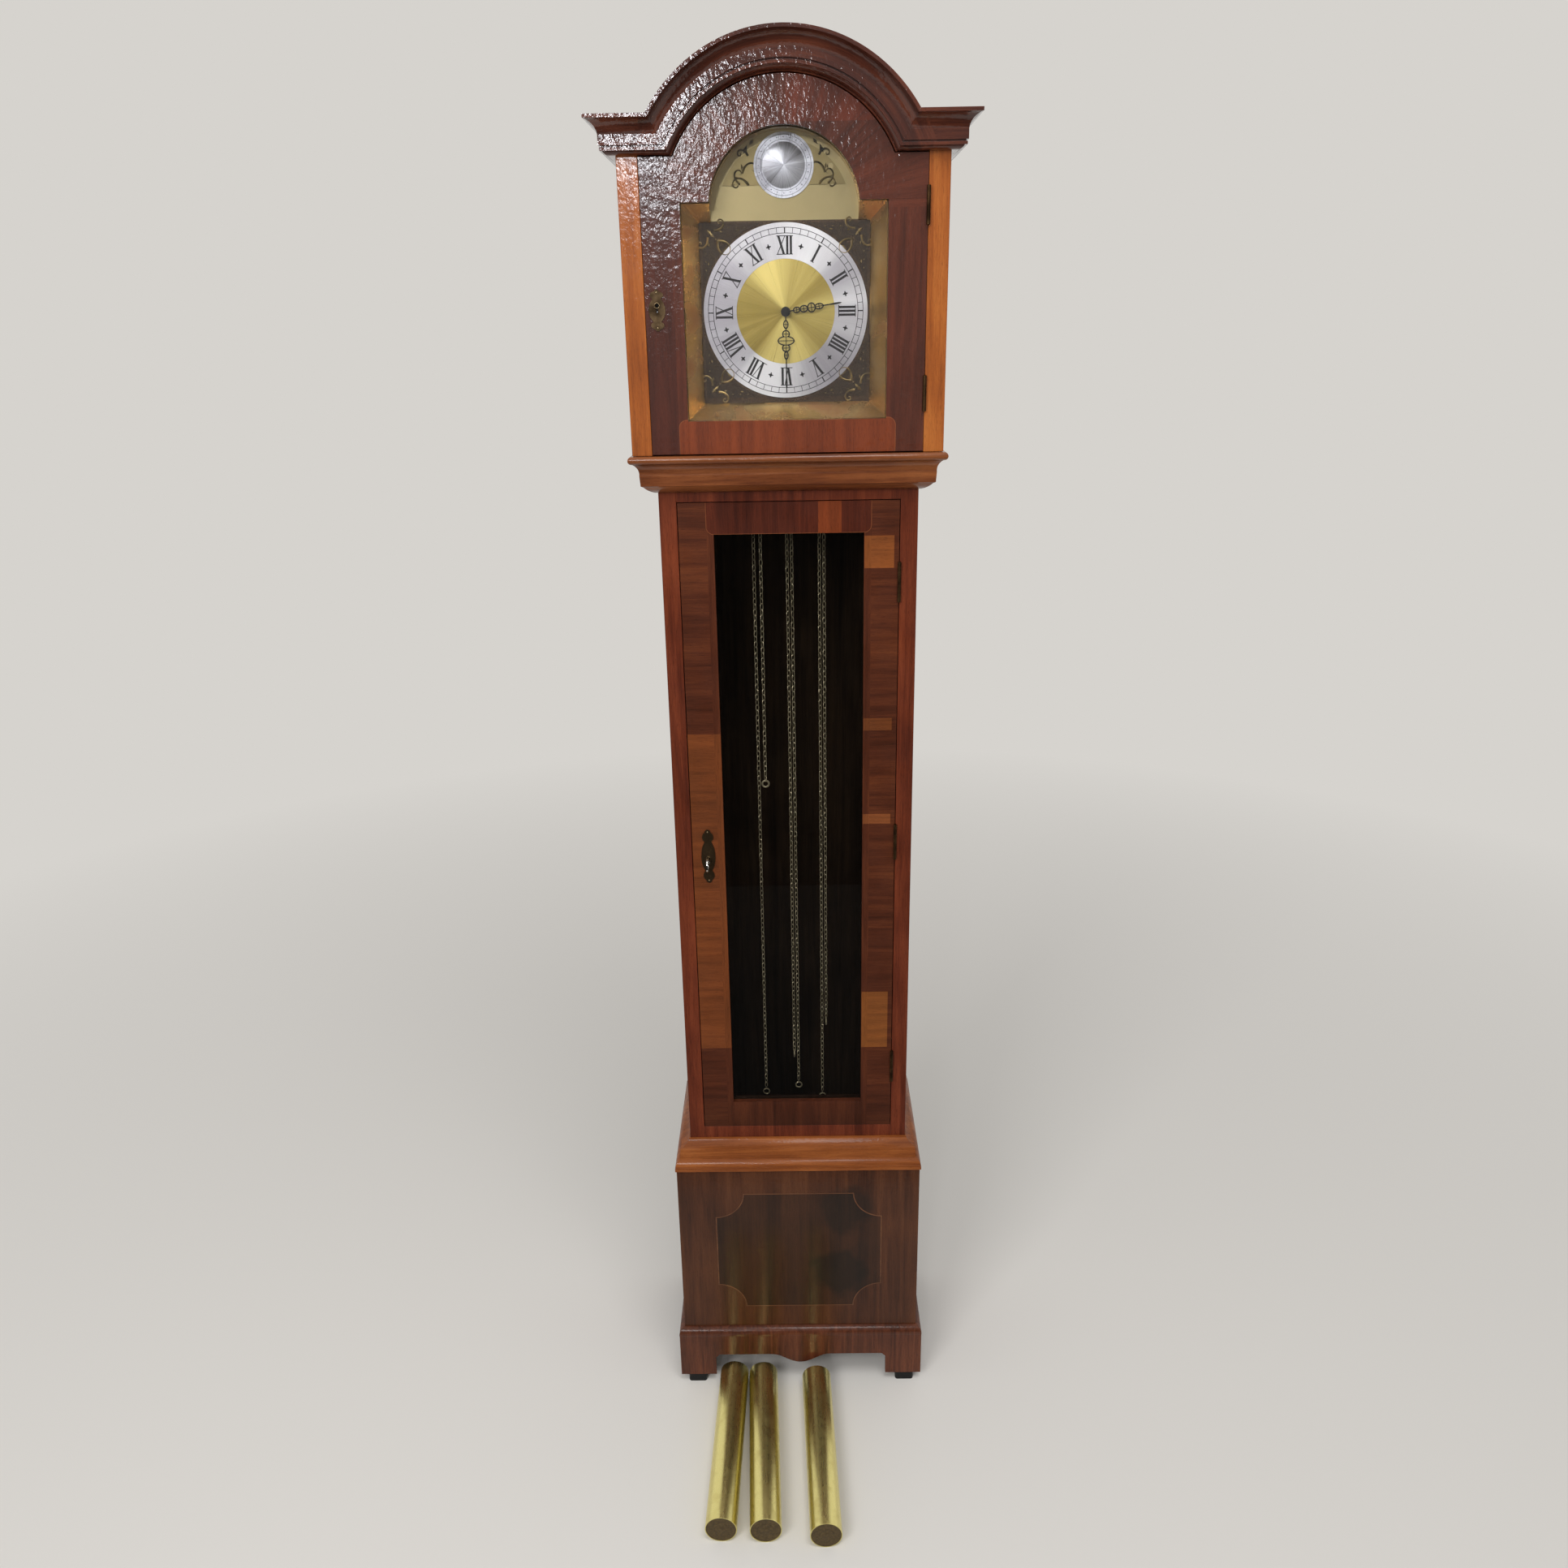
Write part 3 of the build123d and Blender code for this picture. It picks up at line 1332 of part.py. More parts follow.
with BuildPart() as time_great_wheel:
    great_wheel(0, great_depth, 90)
save("time_great_wheel", time_great_wheel)
with BuildPart() as strike_great_wheel:
    great_wheel(-chain_spacing, side_depth, 90)
save("strike_great_wheel", strike_great_wheel)
with BuildPart() as chime_great_wheel:
    great_wheel(chain_spacing, side_depth, 90)
save("chime_great_wheel", chime_great_wheel)

# Third wheel and escape wheel
third_depth = (between[0] + third_wheel_inset, between[0] + third_wheel_inset + wheel_thickness)
centre_depth = (between[0] + centre_wheel_inset, between[0] + centre_wheel_inset + wheel_thickness)
escape_depth = (between[0] + escape_wheel_inset, between[0] + escape_wheel_inset + wheel_thickness)
escape_angle = math.degrees(math.atan2(escape_z - third_z, -third_x))


def pinion_span(wheel_span):
    """The span of a pinion that meshes with a wheel of this span."""
    middle = sum(wheel_span) / 2
    return (middle - pinion_thickness / 2, middle + pinion_thickness / 2)


with BuildPart() as third_wheel:
    toothed_wheel(
        third_x, third_z, third_depth, toothed_outline(third_teeth, third_module, escape_angle)
    )
    crossings(third_x, third_z, third_depth, wheel_boss, third_teeth * third_module / 2 - wheel_rim, 4)
    disc(third_x, third_z, pivot_radius, (between[0] - plate_thickness, between[1] + plate_thickness))
    disc(third_x, third_z, pinion_leaves * third_module * 0.4, (between[0] + seat_gap, between[1] - seat_gap))
    toothed_wheel(
        third_x, third_z, pinion_span(centre_depth),
        toothed_outline(pinion_leaves, centre_module, 0, tip=open_pinion_tip, root=1.9, width=0.3),
    )
save("third_wheel", third_wheel)

with BuildPart() as escape_wheel:
    with BuildSketch(face_at(escape_depth[0])):
        with BuildLine():
            corners = []
            for tooth in range(escape_teeth):
                start = 2 * math.pi * tooth / escape_teeth
                for radius, turn in (
                    (escape_root_radius, 0.0), (escape_radius, -0.05),
                    (escape_radius, -0.03), (escape_root_radius, 0.09),
                ):
                    corners.append(
                        (radius * math.cos(start + turn), escape_z + radius * math.sin(start + turn))
                    )
            Polyline(*corners, close=True)
        make_face()
    extrude(amount=wheel_thickness)
    crossings(0, escape_z, escape_depth, wheel_boss, escape_root_radius - wheel_rim, 4)
    disc(0, escape_z, pivot_radius, (between[0] - plate_thickness, between[1] + plate_thickness))
    leaf_angle = escape_angle + 180 + 180 / pinion_leaves
    toothed_wheel(
        0, escape_z, pinion_span(third_depth),
        toothed_outline(pinion_leaves, third_module, leaf_angle, tip=0.9, root=1.2, width=0.3),
    )
save("escape_wheel", escape_wheel)

with BuildPart() as anchor:
    pallet_reach = escape_radius + pallet_gap
    with BuildSketch(face_at(escape_depth[0])):
        with Locations((0, escape_z)):
            Circle(pallet_reach + anchor_band)
            Circle(pallet_reach, mode=Mode.SUBTRACT)
        with Locations((0, escape_z - pallet_reach)):
            Rectangle(4 * pallet_reach, 4 * pallet_reach - anchor_arm_drop, mode=Mode.SUBTRACT)
        arm_low = escape_z + pallet_reach + anchor_band / 2
        with Locations((0, (arm_low + anchor_z) / 2)):
            Rectangle(anchor_band, anchor_z - arm_low)
        with Locations((0, anchor_z)):
            Circle(anchor_hub_radius)
    extrude(amount=wheel_thickness)
    disc(0, anchor_z, pivot_radius, (crutch_depth, between[1] + plate_thickness))
    disc(0, anchor_z, arbor_radius, (crutch_depth, between[1] - seat_gap))
    board(
        (-crutch_width / 2, crutch_width / 2), (crutch_depth, crutch_depth + leader_thickness),
        (anchor_z - crutch_length, anchor_z),
    )
    fork_span = (anchor_z - crutch_length, anchor_z - crutch_length + fork_height)
    fork_inner = leader_width / 2 + seat_gap
    fork_outer = fork_inner + fork_wall
    board((-fork_outer, fork_outer), (crutch_depth, crutch_depth + leader_thickness), fork_span)
    board_pair(fork_inner, fork_outer, (leader_depth - leader_thickness, crutch_depth), fork_span)
save("anchor", anchor)

with BuildPart() as pendulum_leader:
    leader_span = (leader_depth - leader_thickness / 2, leader_depth + leader_thickness / 2)
    hook_middle = leader_end + leader_hook_radius
    board((-leader_width / 2, leader_width / 2), leader_span, (hook_middle + leader_hook_bore, anchor_z))
    with BuildSketch(face_at(leader_span[0])) as hook:
        with Locations((0, hook_middle)):
            Circle(leader_hook_radius)
            Circle(leader_hook_bore, mode=Mode.SUBTRACT)
        with Locations((leader_hook_radius * 0.75, hook_middle + leader_hook_bore * 0.75)):
            Rectangle(leader_hook_radius * 0.7, leader_hook_mouth, mode=Mode.SUBTRACT)
    extrude(hook.sketch, amount=leader_thickness)
save("pendulum_leader", pendulum_leader)

# Hands with their pipes and wheels
motion_module_a = 2 * motion_distance / (cannon_teeth + minute_wheel_teeth)
motion_module_b = 2 * motion_distance / (minute_pinion_teeth + hour_wheel_teeth)
hour_wheel_rear = front_plate_face + hour_wheel_standoff
hour_wheel_depth = (hour_wheel_rear, hour_wheel_rear + wheel_thickness)
cannon_rear = front_plate_face + cannon_standoff
cannon_depth = (cannon_rear, cannon_rear + cannon_length)
minute_wheel_rear = front_plate_face + minute_wheel_standoff
minute_wheel_depth = (minute_wheel_rear, minute_wheel_rear + wheel_thickness)
hour_hand_rear = dial_face + hour_hand_standoff
minute_hand_rear = dial_face + minute_hand_standoff


def hand_outline(x, z, angle, length, loops):
    """A pierced serpentine hand in an open sketch, pointing clockwise from twelve.

    Each loop is (how far along, its half length, its half width).
    """
    turn = 90 - angle
    bearing = math.radians(turn)

    def spot(distance):
        """The place this far along the hand, turned with it."""
        return Location((x + math.cos(bearing) * distance, z + math.sin(bearing) * distance), turn)

    with Locations(spot(length / 2)):
        Rectangle(length - 2 * hand_stem, hand_stem)
    with Locations(spot(length - hand_tip_length / 2)):
        Ellipse(hand_tip_length / 2, hand_stem * 0.75)
    for distance, half_length, half_width in loops:
        with Locations(spot(distance)):
            Ellipse(half_length, half_width)
    for distance, half_length, half_width in loops:
        with Locations(spot(distance)):
            Ellipse(half_length - hand_stem, half_width - hand_stem, mode=Mode.SUBTRACT)
            Rectangle(2 * half_length - hand_stem, hand_stem * 0.6)
            Rectangle(hand_stem * 0.6, 2 * half_width - hand_stem)
    with Locations((x, z)):
        Circle(hand_hub_radius)


with BuildPart() as minute_hand:
    with BuildSketch(face_at(minute_hand_rear)):
        hand_outline(0, dial_centre_z, minute_hand_angle, minute_hand_length, minute_hand_loops)
    extrude(amount=hand_thickness)
    disc(0, dial_centre_z, pivot_radius, (back_plate_depth, between[0] + seat_gap))
    disc(0, dial_centre_z, centre_arbor_radius, (between[0] + seat_gap, minute_hand_rear + arbor_end_reach))
    disc(0, dial_centre_z, minute_pipe_radius, (front_plate_face + seat_gap, minute_hand_rear))
    disc(
        0, dial_centre_z, minute_pipe_radius + hand_nut_wall,
        (minute_hand_rear, minute_hand_rear + hand_nut_height),
    )
    toothed_wheel(0, dial_centre_z, centre_depth, toothed_outline(centre_teeth, centre_module, 0))
    crossings(0, dial_centre_z, centre_depth, wheel_boss, centre_teeth * centre_module / 2 - wheel_rim, 5)
    toothed_wheel(
        0, dial_centre_z, pinion_span(great_depth),
        toothed_outline(pinion_leaves, great_module, 270 + 180 / pinion_leaves, tip=0.9, root=1.1, width=0.3),
    )
    toothed_wheel(
        0, dial_centre_z, cannon_depth,
        toothed_outline(cannon_teeth, motion_module_a, motion_angle + 180 / cannon_teeth, width=0.34),
    )
save("minute_hand", minute_hand)

with BuildPart() as hour_hand:
    with BuildSketch(face_at(hour_hand_rear)):
        hand_outline(0, dial_centre_z, hour_hand_angle, hour_hand_length, hour_hand_loops)
    extrude(amount=hand_thickness)
    disc(0, dial_centre_z, hour_pipe_radius, (hour_wheel_depth[0], hour_hand_rear))
    toothed_wheel(
        0, dial_centre_z, hour_wheel_depth,
        toothed_outline(hour_wheel_teeth, motion_module_b, motion_angle, width=0.36),
    )
    disc(
        0, dial_centre_z, minute_pipe_radius + bearing_gap,
        (hour_wheel_depth[0], hour_hand_rear + hand_thickness), Mode.SUBTRACT,
    )
save("hour_hand", hour_hand)

with BuildPart() as minute_wheel:
    toothed_wheel(
        minute_wheel_x, minute_wheel_z, minute_wheel_depth,
        toothed_outline(minute_wheel_teeth, motion_module_a, motion_angle + 180, width=0.34),
    )
    pinion_depth = (minute_wheel_depth[1], hour_wheel_depth[1])
    toothed_wheel(
        minute_wheel_x, minute_wheel_z, pinion_depth,
        toothed_outline(
            minute_pinion_teeth, motion_module_b, motion_angle + 180 + 180 / minute_pinion_teeth,
            width=0.32,
        ),
    )
    disc(
        minute_wheel_x, minute_wheel_z, pivot_radius + bearing_gap,
        (minute_wheel_depth[0], pinion_depth[1]), Mode.SUBTRACT,
    )
save("minute_wheel", minute_wheel)

# Chains over their sprockets, with the hooks and rings at their ends


def chain_tube(name):
    """One chain as a plain round bar: two strands and the turn over the sprocket."""
    x = chain_middles[name]
    free_x, hook_x = (x + offset_x for offset_x in strand_offsets[name])
    side = math.copysign(1, free_x - x)
    bend_low = seat_top + chain_lean_start
    bend_high = bend_low + chain_lean_height
    section_plane = Plane(
        origin=(free_x, at_depth(chain_depth), free_strand_ends[name]), x_dir=(1, 0, 0), z_dir=(0, 0, 1)
    )
    with BuildPart() as tube:
        with BuildLine(face_at(chain_depth)) as route:
            for strand_x, end, turn_x in (
                (free_x, free_strand_ends[name], x + side * sprocket_radius),
                (hook_x, hook_strand_ends[name], x - side * sprocket_radius),
            ):
                FilletPolyline(
                    (strand_x, end), (strand_x, bend_low), (turn_x, bend_high), (turn_x, great_z),
                    radius=chain_bend_radius,
                )
            ThreePointArc(
                (x + side * sprocket_radius, great_z), (x, great_z + sprocket_radius),
                (x - side * sprocket_radius, great_z),
            )
        with BuildSketch(section_plane) as link:
            Circle(chain_width / 2)
        sweep(link.sketch, path=route.wires()[0])
    length = route.wires()[0].length
    print(f"chain_{name}: {length:.0f} mm long, volume over section times length "
          f"{tube.part.volume / (length * math.pi * chain_width**2 / 4):.4f}")
    return tube


for name in chain_middles:
    save(f"chain_{name}", chain_tube(name))

with BuildPart() as chain_fittings:
    for name, x in chain_middles.items():
        free_x, hook_x = (x + offset_x for offset_x in strand_offsets[name])
        for end_x, end_z, radius, wire, turn in (
            (hook_x, hook_strand_ends[name], hook_radius, hook_wire, hook_turns[name]),
            (free_x, free_strand_ends[name], end_ring_radius, end_ring_wire, facing_viewer),
        ):
            ring_z = end_z - radius - wire - fitting_neck
            bar((end_x, chain_depth, end_z), (end_x, chain_depth, end_z - fitting_neck - wire), wire)
            with Locations(Location((end_x, at_depth(chain_depth), ring_z), turn)):
                Torus(radius, wire)
save("chain_fittings", chain_fittings)

# Chime rods hanging from their block on the backboard
with BuildPart() as chime_rods:
    block_half = rod_spacing * len(rod_lengths) / 2
    block_span = (backboard_thickness, backboard_thickness + rod_block_depth)
    board((-block_half, block_half), block_span, (rod_block_z, rod_block_z + rod_block_height))
    for number, length in enumerate(rod_lengths):
        rod_x = (number - (len(rod_lengths) - 1) / 2) * rod_spacing
        rod_depth = backboard_thickness + rod_block_depth / 2
        rod_top = rod_block_z - glue_line
        bar((rod_x, rod_depth, rod_top), (rod_x, rod_depth, rod_top - length), rod_radius)
save("chime_rods", chime_rods)

# Weights lying on the floor, their eyes towards the plinth
for name, (rear_x, rear_depth, turn) in weight_rests.items():
    along_x, along_depth = math.sin(math.radians(turn)), math.cos(math.radians(turn))

    def weight_spot(distance):
        """The point this far along the weight's axis from its rear end."""
        return (rear_x + along_x * distance, rear_depth + along_depth * distance, weight_radius)

    with BuildPart() as weight_shell:
        bar(weight_spot(0), weight_spot(weight_length), weight_radius)
        bar(weight_spot(0), weight_spot(weight_length), weight_radius - weight_wall, Mode.SUBTRACT)
    save(f"weight_{name}_shell", weight_shell)
    with BuildPart() as weight_core:
        bar(
            weight_spot(weight_cap_recess), weight_spot(weight_length - weight_cap_recess),
            weight_radius - weight_wall,
        )
        bar(weight_spot(weight_length - weight_cap_recess), weight_spot(weight_length), weight_nut_radius)
        eye_middle = -weight_eye_radius - weight_eye_neck
        bar(weight_spot(weight_cap_recess), weight_spot(eye_middle + weight_eye_radius), weight_eye_wire)
        eye_x, eye_depth, eye_z = weight_spot(eye_middle)
        with Locations((eye_x, at_depth(eye_depth), eye_z)):
            Torus(weight_eye_radius, weight_eye_wire)
    save(f"weight_{name}_core", weight_core)
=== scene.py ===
"""Dress the longcase clock: lacquered veneers, brass, dial, link chains and weights."""

import logging
import math
import random
from dataclasses import dataclass, field
from enum import Enum

import bpy
from mathutils import Matrix, Vector


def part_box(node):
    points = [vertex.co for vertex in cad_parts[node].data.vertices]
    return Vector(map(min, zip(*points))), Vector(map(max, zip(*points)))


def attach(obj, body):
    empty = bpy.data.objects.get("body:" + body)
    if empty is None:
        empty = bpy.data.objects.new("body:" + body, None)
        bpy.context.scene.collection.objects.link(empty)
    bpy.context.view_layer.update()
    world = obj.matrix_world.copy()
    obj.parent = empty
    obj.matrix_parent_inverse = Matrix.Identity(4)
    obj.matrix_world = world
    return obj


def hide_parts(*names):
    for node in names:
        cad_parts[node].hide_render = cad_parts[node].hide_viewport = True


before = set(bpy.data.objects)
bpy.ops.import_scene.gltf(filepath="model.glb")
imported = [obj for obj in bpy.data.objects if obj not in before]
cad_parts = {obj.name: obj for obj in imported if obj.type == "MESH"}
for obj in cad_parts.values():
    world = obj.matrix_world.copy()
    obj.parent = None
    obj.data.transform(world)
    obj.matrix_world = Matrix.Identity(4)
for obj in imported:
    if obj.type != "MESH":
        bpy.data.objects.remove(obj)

LOG = logging.getLogger("clock")
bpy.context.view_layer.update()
FACING = (math.pi / 2, 0, 0)
STAIN = (24, 17, 12)
# painted shade: the dark colour mixed into a lacquered finish where it is darkened by height
PAINTED_SHADE = (20, 10, 6)

Colour = tuple[float, float, float]
Spot = tuple[float, float, float]
Table = tuple[tuple[float, ...], ...]
Pair = tuple[float, float]
Figure = tuple[object, object]
Piece = bpy.types.Object
Finish = bpy.types.Material


class Along(Enum):
    """The way the grain runs."""

    ACROSS = (0.05, 1.0, 1.0)
    DEEP = (1.0, 0.05, 1.0)
    UP = (1.0, 1.0, 0.05)


class Sheen(Enum):
    """How a metal is finished."""

    POLISHED = "polished"
    SATIN = "satin"
    TARNISHED = "tarnished"


def linear(colour: Colour) -> tuple[float, float, float, float]:
    """Turn a colour as a screen shows it, 0 to 255, into light.

    Args:
        colour: red, green and blue.

    Returns:
        The linear colour with full alpha.
    """
    parts = [c / 255 for c in colour]
    light = [p / 12.92 if p <= 0.04045 else ((p + 0.055) / 1.055) ** 2.4 for p in parts]
    return (light[0], light[1], light[2], 1.0)


class Nodes:
    """A node tree and short ways to add to it."""

    def __init__(self, tree: bpy.types.NodeTree) -> None:
        """Start with this tree, emptied."""
        self.tree = tree
        tree.nodes.clear()

    def node(self, kind: str, sockets: dict | None = None, **settings: object) -> bpy.types.Node:
        """Add a node.

        Args:
            kind: the node's type name.
            sockets: a value or another node's output for each input.
            **settings: the node's own properties.

        Returns:
            The new node.
        """
        made = self.tree.nodes.new(kind)
        for key, value in settings.items():
            setattr(made, key, value)
        for key, value in (sockets or {}).items():
            if isinstance(value, bpy.types.NodeSocket):
                self.tree.links.new(value, made.inputs[key])
            else:
                made.inputs[key].default_value = value
        return made

    def maths(self, operation: str, first: object, second: object = 0.0) -> object:
        """The result of one arithmetic node."""
        return self.node("ShaderNodeMath", {0: first, 1: second}, operation=operation).outputs[0]

    def plus(self, first: object, second: object) -> object:
        """The sum of two values."""
        return self.maths("ADD", first, second)

    def minus(self, first: object, second: object) -> object:
        """The first value less the second."""
        return self.maths("SUBTRACT", first, second)

    def times(self, first: object, second: object) -> object:
        """The product of two values."""
        return self.maths("MULTIPLY", first, second)

    def spread(self, value: object, low: float, high: float, start: float, end: float) -> object:
        """Map a value from one range onto another, clamped.

        Args:
            value: the value.
            low: the value that gives start.
            high: the value that gives end.
            start: the result at low.
            end: the result at high.

        Returns:
            The mapped value.
        """
        made = self.node(
            "ShaderNodeMapRange", {0: value, 1: low, 2: high, 3: start, 4: end}, clamp=True
        )
        return made.outputs[0]


class Shader(Nodes):
    """One material's nodes and short ways to add to them."""

    def __init__(self, name: str) -> None:
        """Start an empty material.

        Args:
            name: the finish's name.
        """
        self.material = bpy.data.materials.new(name)
        self.material.use_nodes = True
        super().__init__(self.material.node_tree)
        self.place = self.node("ShaderNodeTexCoord").outputs["Object"]

    def stretched(self, scale: Spot, vector: object = None, shift: Spot = (0, 0, 0)) -> object:
        """Scale and shift a vector.

        Args:
            scale: the factor along each axis.
            vector: the vector, by default the place on the object.
            shift: what is added to it.

        Returns:
            The new vector.
        """
        source = vector or self.place
        made = self.node("ShaderNodeMapping", {"Vector": source, "Scale": scale, "Location": shift})
        return made.outputs["Vector"]

    def noise(self, vector: object, scale: float, detail: float = 3.0, warp: float = 0.0) -> object:
        """Add a noise.

        Args:
            vector: where it is read.
            scale: how fine it is.
            detail: how many finer layers it has.
            warp: how far it is distorted.

        Returns:
            The noise's value.
        """
        made = self.node(
            "ShaderNodeTexNoise",
            {"Vector": vector, "Scale": scale, "Detail": detail, "Distortion": warp},
        )
        return made.outputs[0]

    def ramp(self, value: object, stops: list[tuple[float, Colour]]) -> object:
        """Colour a value.

        Args:
            value: the value, 0 to 1.
            stops: positions with their screen colours.

        Returns:
            The colour.
        """
        made = self.node("ShaderNodeValToRGB", {0: value})
        points = made.color_ramp.elements
        while len(points) < len(stops):
            points.new(0.5)
        for point, (position, colour) in zip(points, stops):
            point.position = position
            point.color = linear(colour)
        return made.outputs["Color"]

    def mix(self, share: object, first: object, second: object, way: str = "MIX") -> object:
        """Mix two colours.

        Args:
            share: the second colour's share.
            first: the first colour.
            second: the second colour.
            way: how they are blended.

        Returns:
            The mixed colour.
        """
        made = self.node(
            "ShaderNodeMix", {0: share, 6: first, 7: second},
            data_type="RGBA", blend_type=way, clamp_factor=True,
        )
        return made.outputs[2]

    def axes(self) -> tuple[object, object, object]:
        """The place on the object as three values."""
        made = self.node("ShaderNodeSeparateXYZ", {0: self.place})
        return made.outputs[0], made.outputs[1], made.outputs[2]

    def length(self, first: object, second: object) -> object:
        """The length of a flat vector given by its two parts."""
        squares = [self.times(part, part) for part in (first, second)]
        return self.maths("SQRT", self.plus(*squares))

    def within(self, value: object, low: float, high: float, blur: float = 0.0002) -> object:
        """A mask that is 1 in a band and 0 outside it.

        Args:
            value: the value.
            low: the band's lower end.
            high: the band's upper end.
            blur: half the width of its soft edges.

        Returns:
            The mask.
        """
        rise = self.spread(value, low - blur, low + blur, 0.0, 1.0)
        fall = self.spread(value, high - blur, high + blur, 1.0, 0.0)
        return self.times(rise, fall)

    def bump(
        self, height: object, distance: float, strength: float, normal: object = None
    ) -> object:
        """Turn a height into a normal.

        Args:
            height: the height, 0 to 1.
            distance: the height of 1 in metres.
            strength: how much of it shows.
            normal: the normal that it lies on, if any.

        Returns:
            The new normal.
        """
        sockets = {"Height": height, "Distance": distance, "Strength": strength}
        if normal is not None:
            sockets["Normal"] = normal
        return self.node("ShaderNodeBump", sockets).outputs["Normal"]

    def finish(self, **sockets: object) -> Finish:
        """Put the surface shader in place.

        Args:
            **sockets: the shader's inputs, with _ for a space in a name.

        Returns:
            The finished material.
        """
        named = {key.replace("_", " "): value for key, value in sockets.items()}
        surface = self.node("ShaderNodeBsdfPrincipled", named)
        self.node("ShaderNodeOutputMaterial", {"Surface": surface.outputs[0]})
        return self.material


@dataclass(frozen=True)
class Patch:
    """A length of veneer of another tone, in metres on the front."""

    x_span: Pair
    z_span: Pair
    colour: Colour
    strength: float = 0.85


@dataclass(frozen=True)
class Panel:
    """A field of other veneer on the front, edged by a fine light line."""

    half: float
    z_span: Pair
    radius: float
    dark: Colour
    light: Colour
    line: Colour
    hollow: bool = False
    line_half: float = 0.0004

    def distance(self, sheet: Shader) -> object:
        """The distance outside the field's outline, negative inside it.

        Args:
            sheet: the material it is drawn in.

        Returns:
            The distance in metres, with the corners rounded out or hollowed in.
        """
        low, high = self.z_span
        shrink = 0.0 if self.hollow else self.radius
        x, _, z = sheet.axes()
        rise = sheet.maths("ABSOLUTE", sheet.minus(z, (low + high) / 2))
        side = sheet.minus(sheet.maths("ABSOLUTE", x), self.half - shrink)
        rise = sheet.minus(rise, (high - low) / 2 - shrink)
        edge = sheet.maths("MAXIMUM", side, rise)
        if self.hollow:
            return sheet.maths("MAXIMUM", edge, sheet.minus(self.radius, sheet.length(side, rise)))
        corner = sheet.length(sheet.maths("MAXIMUM", side, 0.0), sheet.maths("MAXIMUM", rise, 0.0))
        return sheet.minus(sheet.plus(corner, sheet.maths("MINIMUM", edge, 0.0)), self.radius)


